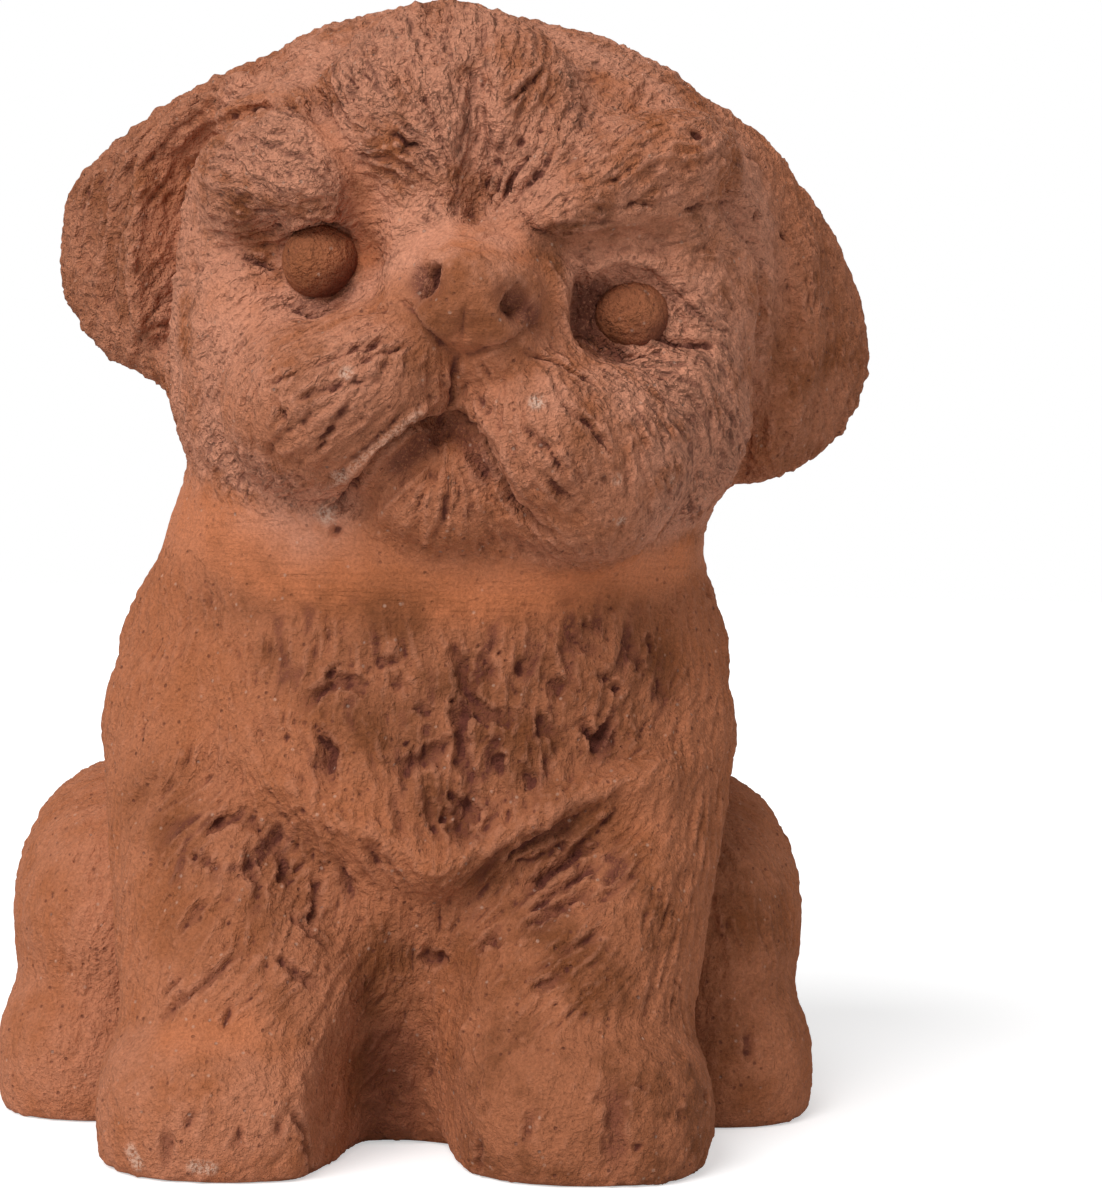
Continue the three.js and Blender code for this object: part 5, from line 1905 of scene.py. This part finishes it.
class PUPPY_OT_eyeballs(bpy.types.Operator):
    """Roll the two eyeballs and set them in their dishes"""

    bl_idname = "puppy.eyeballs"
    bl_label = "Eyeballs"

    def execute(self, context):
        for name, ball in BALLS.items():
            self.roll_ball(context, name, ball)
        return {"FINISHED"}

    def roll_ball(self, context, name, ball):
        """One ball, uneven as a rolled pellet of clay is, on the sight line of its middle."""
        low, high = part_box(name)
        radius = (high.x - low.x) / 2
        direction = sight_line(ball.pixel)
        depth = ((low.y + high.y) / 2 - PHOTO_EYE.y) / direction.y
        place = Matrix.Translation(PHOTO_EYE + direction * (depth + ball.sink))
        form = bmesh.new()
        bmesh.ops.create_icosphere(form, subdivisions=BALL_SUBDIVISIONS, radius=radius, matrix=place)
        mesh = bpy.data.meshes.new(name + "_clay")
        form.to_mesh(mesh)
        form.free()
        mesh.shade_smooth()
        piece = bpy.data.objects.new(name + "_clay", mesh)
        context.scene.collection.objects.link(piece)
        skin = Skin(mesh)
        skin.raise_by(layered_noise(skin, BALL_WAVER))
        lie = surface_direction(skin, np.tile(BALL_LIE, (skin.count, 1)))
        skin.store("flow", lie)
        skin.store("across", np.cross(skin.normals, lie))
        for key, value in {**BALL_SURFACE, "stain": ball.stain}.items():
            skin.store(key, np.full(skin.count, value))
        skin.store("streak", BALL_STREAK_GAIN * streaked_noise(skin, lie, FINE_STREAK))
        skin.store("fine_hollow", skin.hollowness(FINE_HOLLOW_ROUNDS) / FINE_HOLLOW_DEPTH)
        # Painted shade: the ball is darker all over in its socket and darker still towards its lower right
        shaded = np.clip(skin.normals @ np.array(BALL_SHADE_WAY), 0.0, 1.0)
        skin.store("broad_hollow", BALL_SOCKET_SHADE + BALL_SHADE_HOLLOW * shaded)
        mesh.materials.append(clay_finish(name))
        settle_piece(piece, name)


class PUPPY_OT_stage(bpy.types.Operator):
    """Lay the floor, set the light and place the camera where the photograph was taken"""

    bl_idname = "puppy.stage"
    bl_label = "Stage"

    def execute(self, context):
        self.lay_floor(context)
        self.set_light(context)
        self.place_camera(context)
        context.scene.view_settings.view_transform = "Standard"
        return {"FINISHED"}

    def lay_floor(self, context):
        """A plain floor that reads white to the camera and keeps the shadow."""
        stage = context.scene.puppy_stage
        form = bmesh.new()
        bmesh.ops.create_grid(form, x_segments=1, y_segments=1, size=stage.floor_size / 2)
        mesh = bpy.data.meshes.new("floor")
        form.to_mesh(mesh)
        form.free()
        floor = bpy.data.objects.new("floor", mesh)
        floor.location.z = -FLOOR_DROP
        context.scene.collection.objects.link(floor)
        material = bpy.data.materials.new("pale_floor")
        material.use_nodes = True
        wiring = Wiring(material.node_tree)
        plain = wiring.node("ShaderNodeBsdfDiffuse", {"Color": (*context.scene.puppy_colours.floor, 1.0)})
        strength = wiring.times(wiring.seen_rays(), stage.floor_glow)
        glow = wiring.node("ShaderNodeEmission", {"Strength": strength})
        both = wiring.node("ShaderNodeAddShader", {0: plain.outputs[0], 1: glow.outputs[0]})
        wiring.node("ShaderNodeOutputMaterial", {"Surface": both.outputs[0]})
        mesh.materials.append(material)

    def set_light(self, context):
        """A wide soft key light from the upper left, and an even light all round."""
        stage = context.scene.puppy_stage
        lamp = bpy.data.lights.new("soft_key", "SUN")
        lamp.energy = stage.key
        lamp.angle = stage.key_softness
        key = bpy.data.objects.new("soft_key", lamp)
        level = math.cos(stage.key_height)
        towards = Vector(
            (-level * math.sin(stage.key_turn), -level * math.cos(stage.key_turn), math.sin(stage.key_height))
        )
        key.rotation_euler = towards.to_track_quat("Z", "Y").to_euler()
        key.location = towards
        context.scene.collection.objects.link(key)
        world = bpy.data.worlds.new("pale_room")
        world.use_nodes = True
        wiring = Wiring(world.node_tree)
        room = wiring.node("ShaderNodeBackground", {"Color": WHITE, "Strength": stage.fill}).outputs[0]
        white = wiring.node("ShaderNodeBackground", {"Color": WHITE, "Strength": 1.0}).outputs[0]
        both = wiring.node("ShaderNodeMixShader", {0: wiring.seen_rays(), 1: room, 2: white})
        wiring.node("ShaderNodeOutputWorld", {"Surface": both.outputs[0]})
        context.scene.world = world

    def place_camera(self, context):
        """The camera at the photograph's place, with its roll and its frame."""
        lens = bpy.data.cameras.new("photo_camera")
        lens.sensor_fit = "VERTICAL"
        lens.sensor_height = SENSOR_HEIGHT
        lens.sensor_width = SENSOR_HEIGHT
        lens.lens = PHOTO_FOCAL_PIXELS * SENSOR_HEIGHT / PHOTO_HEIGHT
        lens.clip_start = CLIP_START
        lens.clip_end = CLIP_END
        camera = bpy.data.objects.new("photo_camera", lens)
        turn = Matrix((PHOTO_RIGHT, PHOTO_UP, -PHOTO_FORWARD)).transposed().to_4x4()
        camera.matrix_world = Matrix.Translation(PHOTO_EYE) @ turn
        context.scene.collection.objects.link(camera)
        context.scene.camera = camera


class PUPPY_PT_workbench(bpy.types.Panel):
    """The steps of the clay work, in order"""

    bl_idname = "PUPPY_PT_workbench"
    bl_label = "Terracotta puppy"
    bl_space_type = "VIEW_3D"
    bl_region_type = "UI"
    bl_category = "Puppy"

    def draw(self, context):
        for step in STEPS:
            self.layout.operator(step.bl_idname)


STEPS = (
    PUPPY_OT_clay_blank,
    PUPPY_OT_tool_marks,
    PUPPY_OT_comb_fur,
    PUPPY_OT_part_blank,
    PUPPY_OT_body,
    PUPPY_OT_head,
    PUPPY_OT_ears,
    PUPPY_OT_eyeballs,
    PUPPY_OT_forelimbs,
    PUPPY_OT_hind_limbs,
    PUPPY_OT_stage,
)
CLASSES = (PuppyClay, PuppyColours, PuppyStage) + STEPS + (PUPPY_PT_workbench,)


def register():
    """Make the classes and the scene's values known."""
    for known in CLASSES:
        bpy.utils.register_class(known)
    bpy.types.Scene.puppy_clay = bpy.props.PointerProperty(type=PuppyClay)
    bpy.types.Scene.puppy_colours = bpy.props.PointerProperty(type=PuppyColours)
    bpy.types.Scene.puppy_stage = bpy.props.PointerProperty(type=PuppyStage)


def unregister():
    """Take them away again."""
    del bpy.types.Scene.puppy_stage
    del bpy.types.Scene.puppy_colours
    del bpy.types.Scene.puppy_clay
    for known in reversed(CLASSES):
        bpy.utils.unregister_class(known)


def main():
    """Work through the steps."""
    register()
    bpy.ops.puppy.clay_blank()
    bpy.ops.puppy.tool_marks()
    bpy.ops.puppy.comb_fur()
    bpy.ops.puppy.part_blank()
    bpy.ops.puppy.body()
    bpy.ops.puppy.head()
    bpy.ops.puppy.ears()
    bpy.ops.puppy.eyeballs()
    bpy.ops.puppy.forelimbs()
    bpy.ops.puppy.hind_limbs()
    bpy.ops.puppy.stage()


if __name__ == "__main__":
    main()
